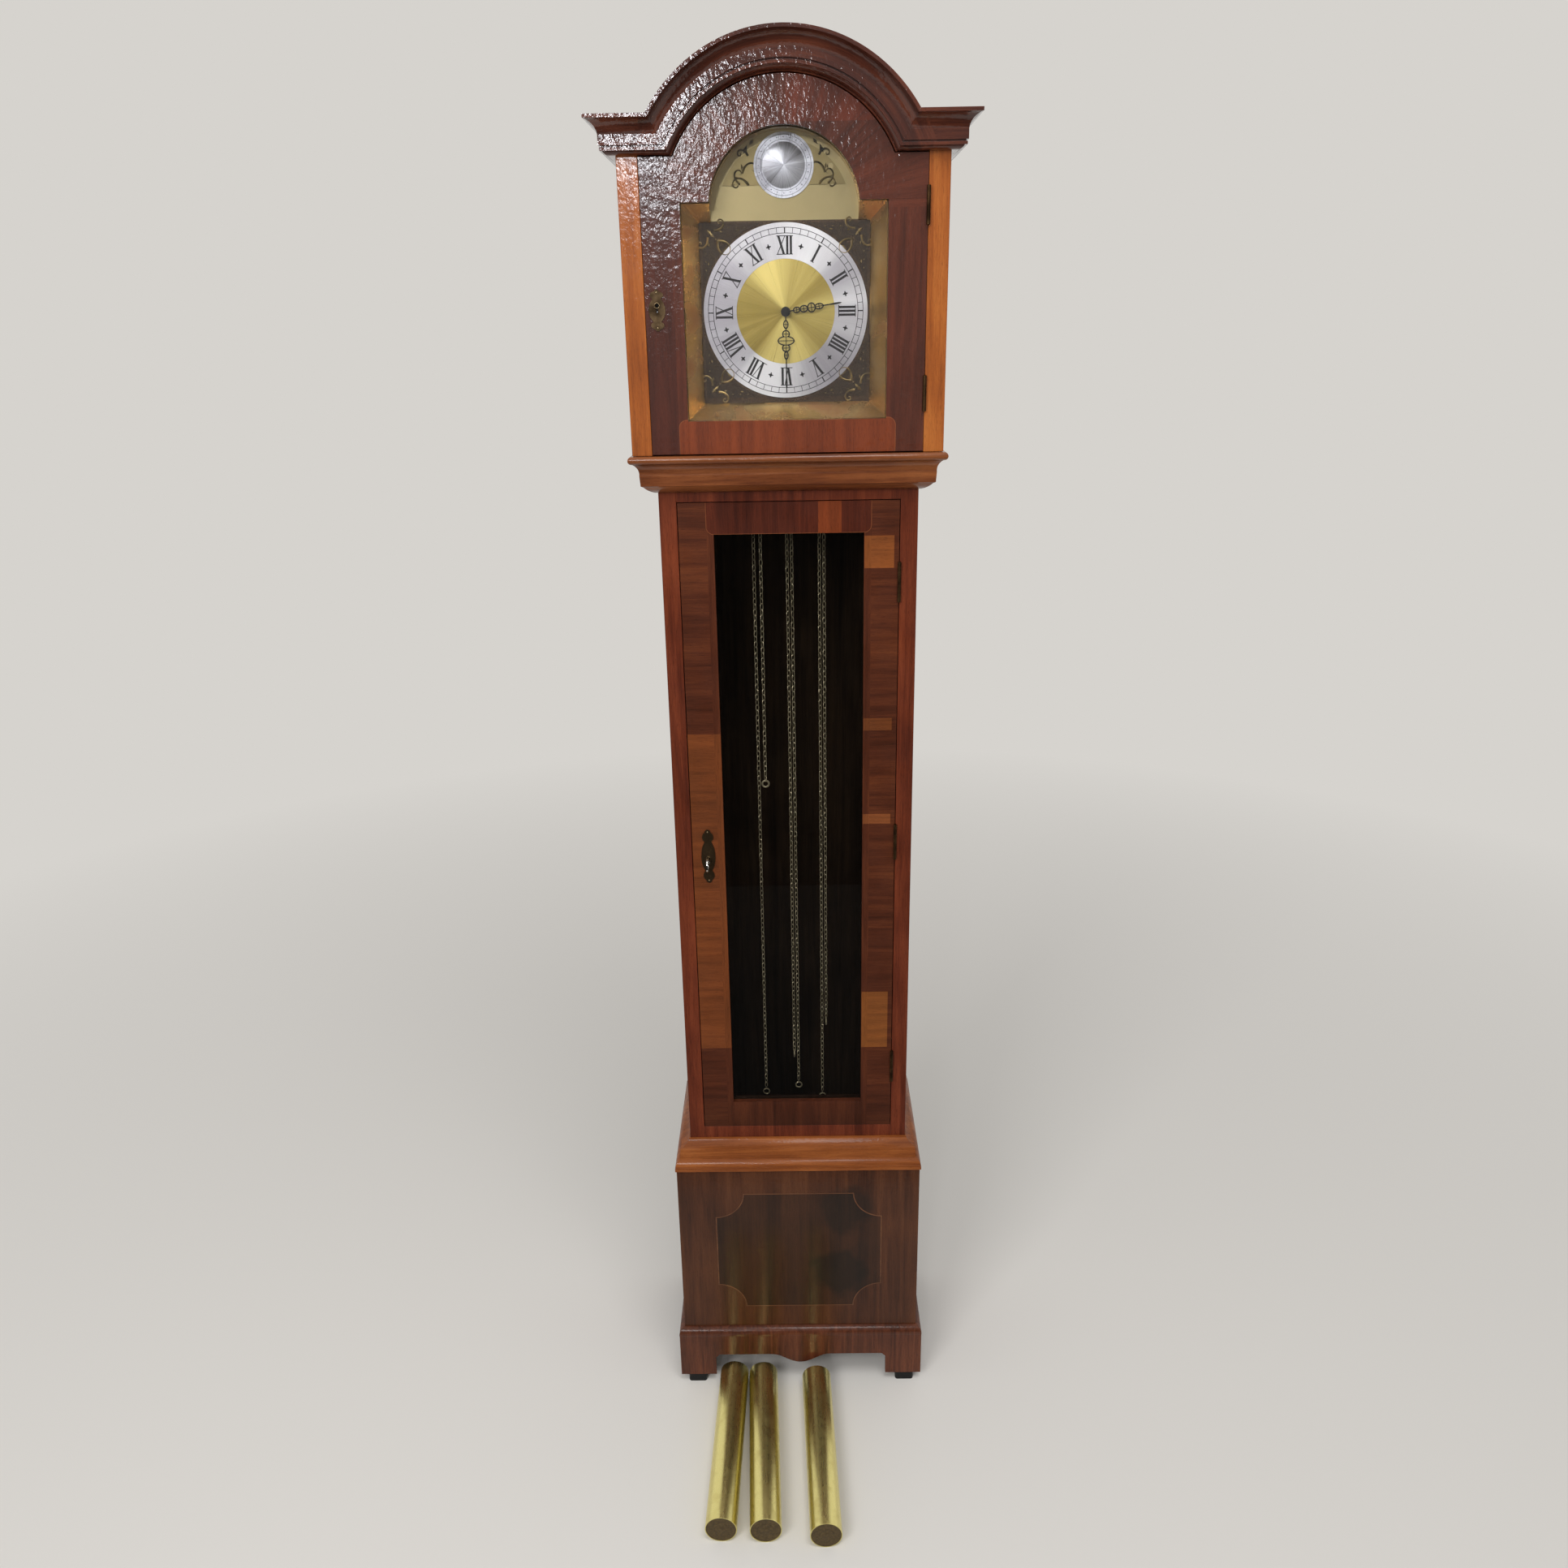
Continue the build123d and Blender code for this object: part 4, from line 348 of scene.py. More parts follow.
@dataclass(frozen=True)
class Lacquered:
    """Wood or veneer under worn gloss lacquer."""

    name: str
    dark: Colour
    middle: Colour
    light: Colour
    grain: Along = Along.UP
    figure: float = 70.0
    coat: float = 0.35
    coat_roughness: float = 0.13
    ripple: float = 0.35
    banding_half: float = 0.0
    arch: Pair = (0.0, 0.0)
    arch_grain: Along = Along.ACROSS
    panels: tuple[Panel, ...] = ()
    patches: tuple[Patch, ...] = ()
    clouds: tuple[tuple[float, float, float, float], ...] = ()
    # painted shade: each (low, high, share) darkens the colour by height, from none at low to share
    # at high
    painted_shading: tuple[tuple[float, float, float], ...] = ()

    def figure_in(self, sheet: Shader, grain: Along, place: object = None) -> Figure:
        """The coarse figure and the fine pores of the wood.

        Args:
            sheet: the material it is drawn in.
            grain: the way the grain runs.
            place: where it is drawn from, by default the place on the object.

        Returns:
            The figure's value and the pores' value.
        """
        stretched = sheet.stretched(grain.value, place)
        cloud = sheet.noise(sheet.place, 9.0, 2.0)
        coarse = sheet.noise(stretched, self.figure, 6.0, 1.2)
        fibre = sheet.noise(stretched, self.figure * 9, 3.0)
        mixed = sheet.plus(sheet.times(coarse, 0.75), sheet.times(fibre, 0.3))
        mixed = sheet.plus(mixed, sheet.times(sheet.minus(cloud, 0.5), 0.45))
        fine = tuple(max(s, 0.03) for s in grain.value)
        return mixed, sheet.noise(sheet.stretched(fine, place), 2600.0, 1.0)

    def veneered(self, sheet: Shader) -> Figure:
        """The figure and pores of all fields: plain, round an arch or across the stiles.

        Args:
            sheet: the material it is drawn in.

        Returns:
            The figure's value and the pores' value.
        """
        value, pores = self.figure_in(sheet, self.grain)
        x, y, z = sheet.axes()
        if self.banding_half:
            rail = sheet.within(x, -self.banding_half, self.banding_half)
            upright = self.figure_in(sheet, Along.UP)
            value, pores = self.blended(sheet, rail, (value, pores), upright)
        if self.arch[0]:
            centre, reach = self.arch
            rise = sheet.minus(z, centre)
            radius = sheet.length(x, rise)
            around = sheet.times(sheet.maths("ARCTAN2", x, rise), 0.15)
            bent = sheet.node("ShaderNodeCombineXYZ", {0: around, 1: y, 2: radius}).outputs[0]
            above = sheet.spread(rise, 0.0, 0.001, 0, 1)
            inside = sheet.times(sheet.within(radius, 0.0, reach), above)
            other = self.figure_in(sheet, self.arch_grain, bent)
            value, pores = self.blended(sheet, inside, (value, pores), other)
        return value, pores

    def blended(self, sheet: Shader, share: object, first: Figure, second: Figure) -> Figure:
        """Mix two pairs of figure and pores."""
        mixes = [sheet.node("ShaderNodeMix", {0: share, 2: a, 3: b}) for a, b in zip(first, second)]
        return mixes[0].outputs[0], mixes[1].outputs[0]

    def material(self) -> Finish:
        """Build the finish.

        Returns:
            The material.
        """
        sheet = Shader(self.name)
        value, pores = self.veneered(sheet)
        x, _, z = sheet.axes()
        colour = sheet.ramp(value, [(0.30, self.dark), (0.52, self.middle), (0.78, self.light)])
        for panel in self.panels:
            distance = panel.distance(sheet)
            inside = sheet.spread(distance, -0.0002, 0.0002, 1.0, 0.0)
            field_tone = sheet.ramp(value, [(0.3, panel.dark), (0.75, panel.light)])
            colour = sheet.mix(inside, colour, field_tone)
            line = sheet.within(distance, -panel.line_half, panel.line_half)
            colour = sheet.mix(sheet.times(line, 0.7), colour, linear(panel.line))
        for cloud_x, cloud_z, reach, share in self.clouds:
            wander = sheet.noise(sheet.place, 28.0, 3.0)
            wander = sheet.times(sheet.minus(wander, 0.5), reach)
            offset = (sheet.minus(x, cloud_x), sheet.minus(z, cloud_z))
            edge = sheet.plus(sheet.length(*offset), wander)
            mask = sheet.spread(edge, reach * 0.7, reach, share, 0.0)
            colour = sheet.mix(mask, colour, linear(STAIN))
        for patch in self.patches:
            mask = sheet.times(sheet.within(x, *patch.x_span), sheet.within(z, *patch.z_span))
            mask = sheet.times(mask, patch.strength)
            tone = tuple(c * 0.72 for c in patch.colour)
            streaked = sheet.ramp(value, [(0.3, tone), (0.75, patch.colour)])
            colour = sheet.mix(mask, colour, streaked)
        # painted shade: darken the colour by height towards the painted-shade colour
        for low, high, share in self.painted_shading:
            mask = sheet.spread(z, low, high, 0.0, share)
            colour = sheet.mix(mask, colour, linear(PAINTED_SHADE))
        pore_mask = sheet.spread(pores, 0.60, 0.72, 0.0, 0.45)
        colour = sheet.mix(pore_mask, colour, linear(tuple(c * 0.45 for c in self.dark)))
        grain_bump = sheet.bump(pores, 0.0002, 0.25)
        ripple = sheet.noise(sheet.stretched((1.0, 1.0, 0.7)), 230.0, 2.0)
        wave = sheet.noise(sheet.place, 60.0, 2.0)
        height = sheet.plus(sheet.times(ripple, 0.8), sheet.times(wave, 0.6))
        lacquer = sheet.bump(height, 0.0008, self.ripple, sheet.bump(pores, 0.0001, 0.12))
        rough = sheet.spread(sheet.noise(sheet.place, 30.0, 4.0), 0.3, 0.7, 0.38, 0.55)
        return sheet.finish(
            Base_Color=colour, Roughness=rough, Normal=grain_bump, Coat_Weight=self.coat,
            Coat_Roughness=self.coat_roughness, Coat_Normal=lacquer,
            Specular_IOR_Level=0.12 if self.coat else 0.0,
        )


@dataclass(frozen=True)
class Metal:
    """Brass or steel, brushed one way or left plain, with some tarnish."""

    name: str
    colour: Colour
    stain: Colour
    sheen: Sheen = Sheen.SATIN
    roughness: float = 0.25
    stain_share: float = 0.25
    brush: Spot = (1.0, 1.0, 1.0)
    brush_scale: float = 900.0
    brush_depth: float = 0.08
    metallic: float = 1.0
    patch: float = 60.0

    def material(self) -> Finish:
        """Build the finish.

        Returns:
            The material.
        """
        sheet = Shader(self.name)
        patchy = sheet.noise(sheet.place, self.patch, 4.0)
        start = 0.5 if self.sheen is Sheen.POLISHED else 0.42
        mask = sheet.spread(patchy, start, start + 0.2, 0.0, self.stain_share)
        colour = sheet.mix(mask, linear(self.colour), linear(self.stain))
        lines = sheet.noise(sheet.stretched(self.brush), self.brush_scale, 3.0)
        rough = sheet.plus(sheet.times(mask, 0.25), self.roughness)
        rough = sheet.plus(rough, sheet.times(sheet.minus(lines, 0.5), 0.12))
        return sheet.finish(
            Base_Color=colour, Metallic=self.metallic, Roughness=rough,
            Normal=sheet.bump(lines, 0.0002, self.brush_depth),
        )


@dataclass(frozen=True)
class Sunray:
    """Metal brushed in rays from a centre on the dial, with a painted highlight: a lighter wedge of
    colour along one way across it.
    """

    name: str
    centre: Spot
    dark: Colour
    light: Colour
    roughness: float = 0.3
    wedges: float = 1.6
    # painted highlight: the way across the dial where the colour is lightened, and how strongly
    painted_glint: Spot = (0.0, 0.0, 1.0)
    glint_share: float = 0.4

    def material(self) -> Finish:
        """Build the finish.

        Returns:
            The material.
        """
        sheet = Shader(self.name)
        offset = sheet.node(
            "ShaderNodeVectorMath", {0: sheet.place, 1: self.centre}, operation="SUBTRACT"
        ).outputs[0]
        flat = sheet.stretched((1.0, 0.0, 1.0), offset)
        ray = sheet.node("ShaderNodeVectorMath", {0: flat}, operation="NORMALIZE").outputs[0]
        broad = sheet.noise(ray, self.wedges, 2.0)
        fine = sheet.noise(ray, 120.0, 2.0)
        value = sheet.plus(broad, sheet.times(sheet.minus(fine, 0.5), 0.3))
        # painted highlight: lighten the colour in a narrow wedge along that way, where the brushing
        # would catch the light
        facing = sheet.node(
            "ShaderNodeVectorMath", {0: ray, 1: self.painted_glint}, operation="DOT_PRODUCT"
        ).outputs[1]
        wedge = sheet.maths("POWER", sheet.maths("ABSOLUTE", facing), 7.0)
        value = sheet.plus(value, sheet.times(wedge, self.glint_share))
        value = sheet.minus(value, 0.1)
        colour = sheet.ramp(value, [(0.25, self.dark), (0.8, self.light)])
        rough = sheet.spread(fine, 0.3, 0.7, self.roughness - 0.06, self.roughness + 0.08)
        return sheet.finish(
            Base_Color=colour, Metallic=0.85, Roughness=rough, Normal=sheet.bump(fine, 0.0003, 0.2)
        )


@dataclass(frozen=True)
class Matted:
    """The dial plate: stippled dark round the chapter ring, plain brass in the arch."""

    name: str
    arch_start: float
    dark: Colour = (58, 44, 34)
    speck: Colour = (118, 92, 64)
    brass: Colour = (152, 138, 98)

    def material(self) -> Finish:
        """Build the finish.

        Returns:
            The material.
        """
        sheet = Shader(self.name)
        _, _, z = sheet.axes()
        cells = sheet.node(
            "ShaderNodeTexVoronoi", {"Vector": sheet.place, "Scale": 900.0}
        ).outputs[0]
        stipple = sheet.ramp(cells, [(0.15, self.speck), (0.5, self.dark)])
        arch = sheet.spread(z, self.arch_start, self.arch_start + 0.0005, 0.0, 1.0)
        colour = sheet.mix(arch, stipple, linear(self.brass))
        rough = sheet.spread(arch, 0.0, 1.0, 0.6, 0.34)
        height = sheet.times(cells, sheet.minus(1.0, arch))
        return sheet.finish(
            Base_Color=colour, Metallic=0.8, Roughness=rough, Normal=sheet.bump(height, 0.0004, 0.5)
        )


@dataclass(frozen=True)
class Painted:
    """Paint, moulded plastic or dull filling with a faint texture."""

    name: str
    colour: Colour
    roughness: float
    texture: float = 800.0

    def material(self) -> Finish:
        """Build the finish.

        Returns:
            The material.
        """
        sheet = Shader(self.name)
        speck = sheet.noise(sheet.place, self.texture, 3.0)
        lighter = tuple(min(255, c * 1.35 + 4) for c in self.colour)
        colour = sheet.ramp(speck, [(0.35, self.colour), (0.75, lighter)])
        rough = sheet.spread(speck, 0.3, 0.7, self.roughness - 0.06, self.roughness + 0.06)
        return sheet.finish(
            Base_Color=colour, Roughness=rough, Normal=sheet.bump(speck, 0.0002, 0.15),
            Specular_IOR_Level=0.25,
        )


@dataclass(frozen=True)
class Pane:
    """Clear glass in a door."""

    name: str
    tint: Colour = (240, 240, 240)

    def material(self) -> Finish:
        """Build glass that lets the lamps through to what is behind it.

        Returns:
            The material.
        """
        sheet = Shader(self.name)
        smears = sheet.noise(sheet.place, 14.0, 4.0, 1.0)
        smeared = tuple(c - 14 for c in self.tint)
        tint = sheet.ramp(smears, [(0.4, self.tint), (0.8, smeared)])
        glass = sheet.node(
            "ShaderNodeBsdfPrincipled",
            {"Base Color": tint, "Roughness": 0.0, "Transmission Weight": 1.0, "IOR": 1.45},
        )
        clear = sheet.node("ShaderNodeBsdfTransparent", {0: linear(self.tint)})
        path = sheet.node("ShaderNodeLightPath")
        lamp = sheet.maths("MAXIMUM", path.outputs["Is Shadow Ray"], path.outputs["Is Diffuse Ray"])
        mixed = sheet.node(
            "ShaderNodeMixShader", {0: lamp, 1: glass.outputs[0], 2: clear.outputs[0]}
        )
        sheet.node("ShaderNodeOutputMaterial", {"Surface": mixed.outputs[0]})
        return sheet.material


def clear_selection() -> None:
    """Leave edit mode and deselect everything."""
    if bpy.context.object is not None and bpy.context.object.mode != "OBJECT":
        bpy.ops.object.mode_set(mode="OBJECT")
    bpy.ops.object.select_all(action="DESELECT")


def pick(pieces: list[Piece]) -> Piece:
    """Select these objects alone.

    Args:
        pieces: the objects.

    Returns:
        The first one, now active.
    """
    clear_selection()
    for piece in pieces:
        piece.select_set(True)
    bpy.context.view_layer.objects.active = pieces[0]
    return pieces[0]


def settle(piece: Piece) -> Piece:
    """Apply an object's place, so that it sits at the origin.

    Args:
        piece: the object.

    Returns:
        The same object.
    """
    pick([piece])
    bpy.ops.object.transform_apply(location=True, rotation=True, scale=True)
    return piece


def joined(pieces: list[Piece], name: str) -> Piece:
    """Join objects into one piece.

    Args:
        pieces: the objects.
        name: the piece's name.

    Returns:
        The piece.
    """
    piece = pick(pieces)
    if len(pieces) > 1:
        bpy.ops.object.join()
    piece.name = name
    piece.data.name = name
    return settle(piece)


def ring(radius: float, wire: float, segments: tuple[int, int], spot: Spot = (0, 0, 0)) -> Piece:
    """A ring of round wire that faces the front.

    Args:
        radius: the radius of its middle line.
        wire: the wire's radius.
        segments: the number of steps round the ring and round the wire.
        spot: where its centre is.

    Returns:
        The ring.
    """
    bpy.ops.mesh.primitive_torus_add(
        major_radius=radius, minor_radius=wire, major_segments=segments[0],
        minor_segments=segments[1], location=spot, rotation=FACING,
    )
    return settle(bpy.context.object)


def bead(radius: float, flat: float, segments: tuple[int, int], spot: Spot) -> Piece:
    """A small round head, flattened from front to back.

    Args:
        radius: its radius.
        flat: its depth as a share of its width.
        segments: the number of steps round it and from pole to pole.
        spot: where its centre is.

    Returns:
        The bead.
    """
    bpy.ops.mesh.primitive_uv_sphere_add(
        segments=segments[0], ring_count=segments[1], radius=radius, location=spot,
        scale=(1, flat, 1),
    )
    return settle(bpy.context.object)


def copy_at(piece: Piece, place: Matrix) -> Piece:
    """Copy an object, with a mesh of its own.

    Args:
        piece: the pattern.
        place: how the copy is moved.

    Returns:
        The copy.
    """
    mesh = piece.data.copy()
    mesh.transform(place)
    made = bpy.data.objects.new(piece.name, mesh)
    bpy.context.scene.collection.objects.link(made)
    return made


def drop(piece: Piece) -> None:
    """Delete an object that was only a pattern for copies.

    Args:
        piece: the pattern.
    """
    mesh = piece.data
    bpy.data.objects.remove(piece)
    bpy.data.meshes.remove(mesh)


def outward(piece: Piece) -> Piece:
    """Merge doubles and make the faces point outwards.

    Args:
        piece: the object.

    Returns:
        The same object.
    """
    pick([piece])
    bpy.ops.object.mode_set(mode="EDIT")
    bpy.ops.mesh.select_all(action="SELECT")
    bpy.ops.mesh.remove_doubles(threshold=1e-6)
    bpy.ops.mesh.normals_make_consistent(inside=False)
    bpy.ops.object.mode_set(mode="OBJECT")
    return piece


def smooth(piece: Piece, angle: float = 35.0) -> Piece:
    """Shade smooth, but for sharp edges.

    Args:
        piece: the object.
        angle: the sharpest edge that is smoothed, in degrees.

    Returns:
        The same object.
    """
    pick([piece])
    bpy.ops.object.shade_smooth_by_angle(angle=math.radians(angle))
    return piece


def finish_piece(piece: Piece, body: str, material: Finish) -> Piece:
    """Give a new piece its finish and its body.

    Args:
        piece: the finished mesh object.
        body: the body it moves with.
        material: its finish.

    Returns:
        The same piece.
    """
    piece.data.materials.clear()
    piece.data.materials.append(material)
    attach(piece, body)
    LOG.info("%s rides on %s, %d faces", piece.name, body, len(piece.data.polygons))
    return piece


def dress(material: Finish, *nodes: str, edge: float = 0.0) -> None:
    """Give CAD nodes a finish and, for wood, slightly rounded edges.

    Args:
        material: the finish.
        *nodes: the nodes' names.
        edge: the width of the rounding in metres, 0 for none.
    """
    for name in nodes:
        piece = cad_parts[name]
        if not piece.material_slots:
            piece.data.materials.append(material)
        for holder in piece.material_slots:
            holder.material = material
        if edge:
            weld = piece.modifiers.new("weld", "WELD")
            weld.merge_threshold = 1e-5
            bevel = piece.modifiers.new("edge", "BEVEL")
            bevel.width = edge
            bevel.segments = 2
            bevel.limit_method = "ANGLE"
            bevel.angle_limit = math.radians(40)
            bevel.harden_normals = False
        LOG.info("%s dressed in %s", name, material.name)


@dataclass
class Case:
    """The base, the trunk and the plinth."""

    stiles: float = 0.0932
    patch_edges: Pair = (0.0935, 0.1305)
    stile_patches: tuple[tuple[float, float, Colour], ...] = (
        (1.2817, 1.3219, (152, 84, 38)),
        (1.0693, 1.0860, (130, 70, 32)),
        (0.9378, 0.9519, (140, 78, 40)),
        (0.5910, 0.6814, (146, 84, 36)),
    )

    def door_finish(self) -> Lacquered:
        """The cross-banded veneer of the trunk door, with painted shade towards its bottom rail.

        Returns:
            The finish.
        """
        patches = [Patch(self.patch_edges, tuple(span), tone) for *span, tone in self.stile_patches]
        patches.append(Patch((-0.140, -self.stiles), (0.592, 1.067), (136, 72, 32), 0.7))
        patches.append(Patch((0.0362, 0.0652), (1.326, 1.366), (136, 62, 26), 0.8))
        panel = Panel(0.1020, (1.3262, 1.40), 0.009, (56, 22, 12), (94, 40, 22), (128, 72, 40))
        return Lacquered(
            "door_veneer", (58, 26, 13), (78, 37, 20), (102, 52, 27), grain=Along.ACROSS,
            banding_half=0.1020, panels=(panel,), patches=tuple(patches),
            # painted shade: the door darkens towards its bottom rail
            painted_shading=((0.53, 0.46, 0.35),),
        )

    def build(self) -> None:
        """Dress the case's nodes."""
        red = Lacquered("case_wood", (64, 24, 13), (96, 41, 22), (124, 58, 32))
        side = Lacquered("side_veneer", (68, 30, 16), (102, 48, 26), (128, 68, 36))
        moulding = Lacquered(
            "base_moulding_wood", (108, 54, 22), (136, 74, 32), (166, 98, 48), grain=Along.ACROSS
        )
        throat = Lacquered(
            "throat_moulding_wood", (84, 41, 19), (116, 63, 32), (146, 86, 46), grain=Along.ACROSS,
            coat=0.7,
        )
        plinth = Lacquered(
            "plinth_veneer", (54, 26, 14), (86, 44, 26), (112, 62, 38), figure=110.0
        )
        inlay = Panel(
            0.125, (0.1415, 0.353), 0.042, (38, 20, 11), (68, 38, 21), (64, 38, 22), hollow=True
        )
        front = Lacquered(
            "base_veneer", (54, 27, 14), (76, 41, 22), (94, 54, 30), figure=48.0, coat=0.3,
            panels=(inlay,), clouds=((0.075, 0.320, 0.046, 0.55), (0.062, 0.208, 0.046, 0.7)),
            ripple=0.2,
        )
        plain = Lacquered(
            "plain_board", (18, 13, 9), (33, 24, 17), (48, 36, 25), coat=0.0, ripple=0.0
        )
        dress(self.door_finish().material(), "trunk_door_frame", edge=0.0005)
        dress(red.material(), "trunk_front_frame", edge=0.0006)
        dress(side.material(), "base_sides", "trunk_sides", edge=0.0006)
        dress(moulding.material(), "base_moulding", edge=0.0004)
        dress(throat.material(), "throat_moulding", edge=0.0004)
        dress(plinth.material(), "plinth", edge=0.0008)
        dress(front.material(), "base_front", edge=0.0005)
        hidden = ("backboard", "base_floor", "seatboard", "trunk_door_beads")
        dress(plain.material(), *hidden, edge=0.0005)
        line = Lacquered(
            "line_inlay", (74, 44, 26), (98, 60, 38), (116, 74, 46), grain=Along.ACROSS
        )
        dress(line.material(), "base_stringing")
        glide = Painted("glide_plastic", (14, 14, 14), 0.5)
        dress(glide.material(), "foot_glides")
        dress(Pane("trunk_pane").material(), "trunk_door_glass")


@dataclass
class Hood:
    """The hood, its door and its cornice."""

    arch_centre_z: float = 1.688

    def build(self) -> None:
        """Dress the hood's nodes."""
        posts = Lacquered("post_wood", (124, 62, 20), (154, 82, 29), (182, 108, 46), coat=0.7)
        cornice = Lacquered(
            "cornice_wood", (42, 18, 11), (70, 31, 19), (104, 52, 32), grain=Along.ACROSS,
            coat=1.0, coat_roughness=0.11, ripple=0.6, arch=(self.arch_centre_z, 0.1785),
        )
        rail = Panel(0.1275, (1.30, 1.4640), 0.009, (94, 40, 18), (128, 58, 26), (140, 76, 40))
        door = Lacquered(
            "hood_door_veneer", (58, 26, 15), (78, 36, 22), (98, 46, 28),
            coat=1.0, coat_roughness=0.14, ripple=0.6, panels=(rail,),
            arch=(self.arch_centre_z, 0.2), arch_grain=Along.UP,
            patches=(
                Patch((0.0032, 0.1), (1.775, 1.83), (116, 48, 26), 0.6),
                Patch((-0.1605, -0.1275), (1.42, 1.75), (70, 30, 21), 0.6),
            ),
        )
        side = Lacquered("hood_side_veneer", (62, 27, 14), (94, 43, 24), (122, 62, 36))
        dress(posts.material(), "hood_posts", edge=0.0008)
        dress(cornice.material(), "cornice", edge=0.0004)
        dress(door.material(), "hood_door_frame", edge=0.0008)
        roof = Lacquered(
            "hood_roof_wood", (56, 25, 14), (84, 40, 24), (110, 58, 34), grain=Along.DEEP, coat=0.2
        )
        dress(side.material(), "hood_carcase", edge=0.0005)
        dress(roof.material(), "hood_roof", edge=0.0005)
        dress(Pane("hood_pane").material(), "hood_door_glass")
        mask = Metal(
            "mask_brass", (218, 186, 126), (184, 106, 66), Sheen.POLISHED, 0.22, 0.5, patch=26.0
        )
        dress(mask.material(), "dial_mask")


@dataclass
class Dial:
    """The dial's finishes, the chapter ring's numerals and tracks, and the lines on the boss."""

    numeral_inner: float = 0.0623
    numeral_height: float = 0.0195
    thick: float = 0.0026
    thin: float = 0.0009
    relief: float = 0.00016
    track_radii: Pair = (0.0848, 0.0908)
    track_line: float = 0.0006
    stroke_widths: Pair = (0.0013, 0.0006)
    mark_radius: float = 0.0725
    mark_arm: float = 0.0029
    boss_circles: Pair = (0.0312, 0.0262)
    boss_dot_radius: float = 0.0287
    boss_dots: int = 24
    boss_centre_z: float = 1.737
    arch_rise: float = 0.098
    hours: tuple[str, ...] = (
        "XII", "I", "II", "III", "IIII", "V", "VI", "VII", "VIII", "IX", "X", "XI",
    )
    widths: dict[str, float] = field(
        default_factory=lambda: {"I": 0.0030, "V": 0.0082, "X": 0.0088}
    )
    letter_gap: float = 0.0012

    def __post_init__(self) -> None:
        """Read the dial's place from the frame."""
        low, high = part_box("chapter_ring")
        self.centre = Vector((0.0, low.y, (low.z + high.z) / 2))

    def bar(self, start: Pair, end: Pair, width: float) -> Piece:
        """A flat bar on the dial's face.

        Args:
            start: x and z of one end, from the dial's centre.
            end: x and z of the other end.
            width: its width.

        Returns:
            The bar.
        """
        run = Vector((end[0] - start[0], 0, end[1] - start[1]))
        middle = Vector(((start[0] + end[0]) / 2, -self.relief / 2, (start[1] + end[1]) / 2))
        lean = math.atan2(run.x, run.z)
        bpy.ops.mesh.primitive_cube_add(
            size=1, location=middle, rotation=(0, lean, 0), scale=(width, self.relief, run.length)
        )
        return settle(bpy.context.object)

    def turned(self, pieces: list[Piece], angle: float) -> None:
        """Move pieces onto the dial, turned about its centre.

        Args:
            pieces: the pieces.
            angle: the turn in degrees clockwise.
        """
        place = Matrix.Translation(self.centre) @ Matrix.Rotation(math.radians(angle), 4, "Y")
        for piece in pieces:
            piece.data.transform(place)

    def numeral(self, letters: str) -> list[Piece]:
        """One numeral, standing above the centre.

        Args:
            letters: what it reads.

        Returns:
            Its strokes.
        """
        foot, head = self.numeral_inner, self.numeral_inner + self.numeral_height
        total = sum(self.widths[c] for c in letters) + self.letter_gap * (len(letters) - 1)
        left = -total / 2
        strokes = []
        for letter in letters:
            width = self.widths[letter]
            right, middle = left + width, left + width / 2
            slant = self.thick / 2
            if letter == "I":
                strokes.append(self.bar((middle, foot), (middle, head), self.thick))
            elif letter == "V":
                strokes.append(self.bar((left + slant, head), (middle, foot), self.thick))
                strokes.append(self.bar((right, head), (middle, foot), self.thin))
            else:
                strokes.append(self.bar((left + slant, head), (right - slant, foot), self.thick))
                strokes.append(self.bar((right, head), (left, foot), self.thin))
            left = right + self.letter_gap
        for height in (foot, head):
            serif = self.thin
            ends = (-total / 2 - serif, height), (total / 2 + serif, height)
            strokes.append(self.bar(*ends, self.thin))
        return strokes

    def track(self) -> list[Piece]:
        """The minute track: two fine circles and sixty strokes.

        Returns:
            Its pieces.
        """
        made = []
        for radius in self.track_radii:
            circle = ring(radius, self.track_line / 2, (160, 4), self.centre)
            circle.data.transform(Matrix.Translation((0, -self.track_line / 4, 0)))
            made.append(circle)
        for minute in range(60):
            width = self.stroke_widths[0 if minute % 5 == 0 else 1]
            stroke = self.bar((0, self.track_radii[0]), (0, self.track_radii[1]), width)
            self.turned([stroke], minute * 6)
            made.append(stroke)
        return made

    def half_hour(self, hour: int) -> list[Piece]:
        """The mark between two hours: a cross with a round middle.

        Args:
            hour: the hour before it.

        Returns:
            Its pieces.
        """
        radius, arm = self.mark_radius, self.mark_arm
        marks = [self.bar((0, radius - arm), (0, radius + arm), 0.0013)]
        marks.append(self.bar((-arm, radius), (arm, radius), 0.0013))
        bpy.ops.mesh.primitive_cylinder_add(
            vertices=12, radius=0.0017, depth=self.relief, rotation=FACING,
            location=(0, -self.relief / 2, radius),
        )
        marks.append(settle(bpy.context.object))
        self.turned(marks, hour * 30 + 15)
        return marks

    def engraving(self, black: Finish) -> None:
        """All black work on the chapter ring, as one piece.

        Args:
            black: its material.
        """
        pieces = self.track()
        for hour, letters in enumerate(self.hours):
            strokes = self.numeral(letters)
            self.turned(strokes, hour * 30)
            pieces += strokes + self.half_hour(hour)
        marks = joined(pieces, "chapter_numerals")
        finish_piece(marks, "case", black)

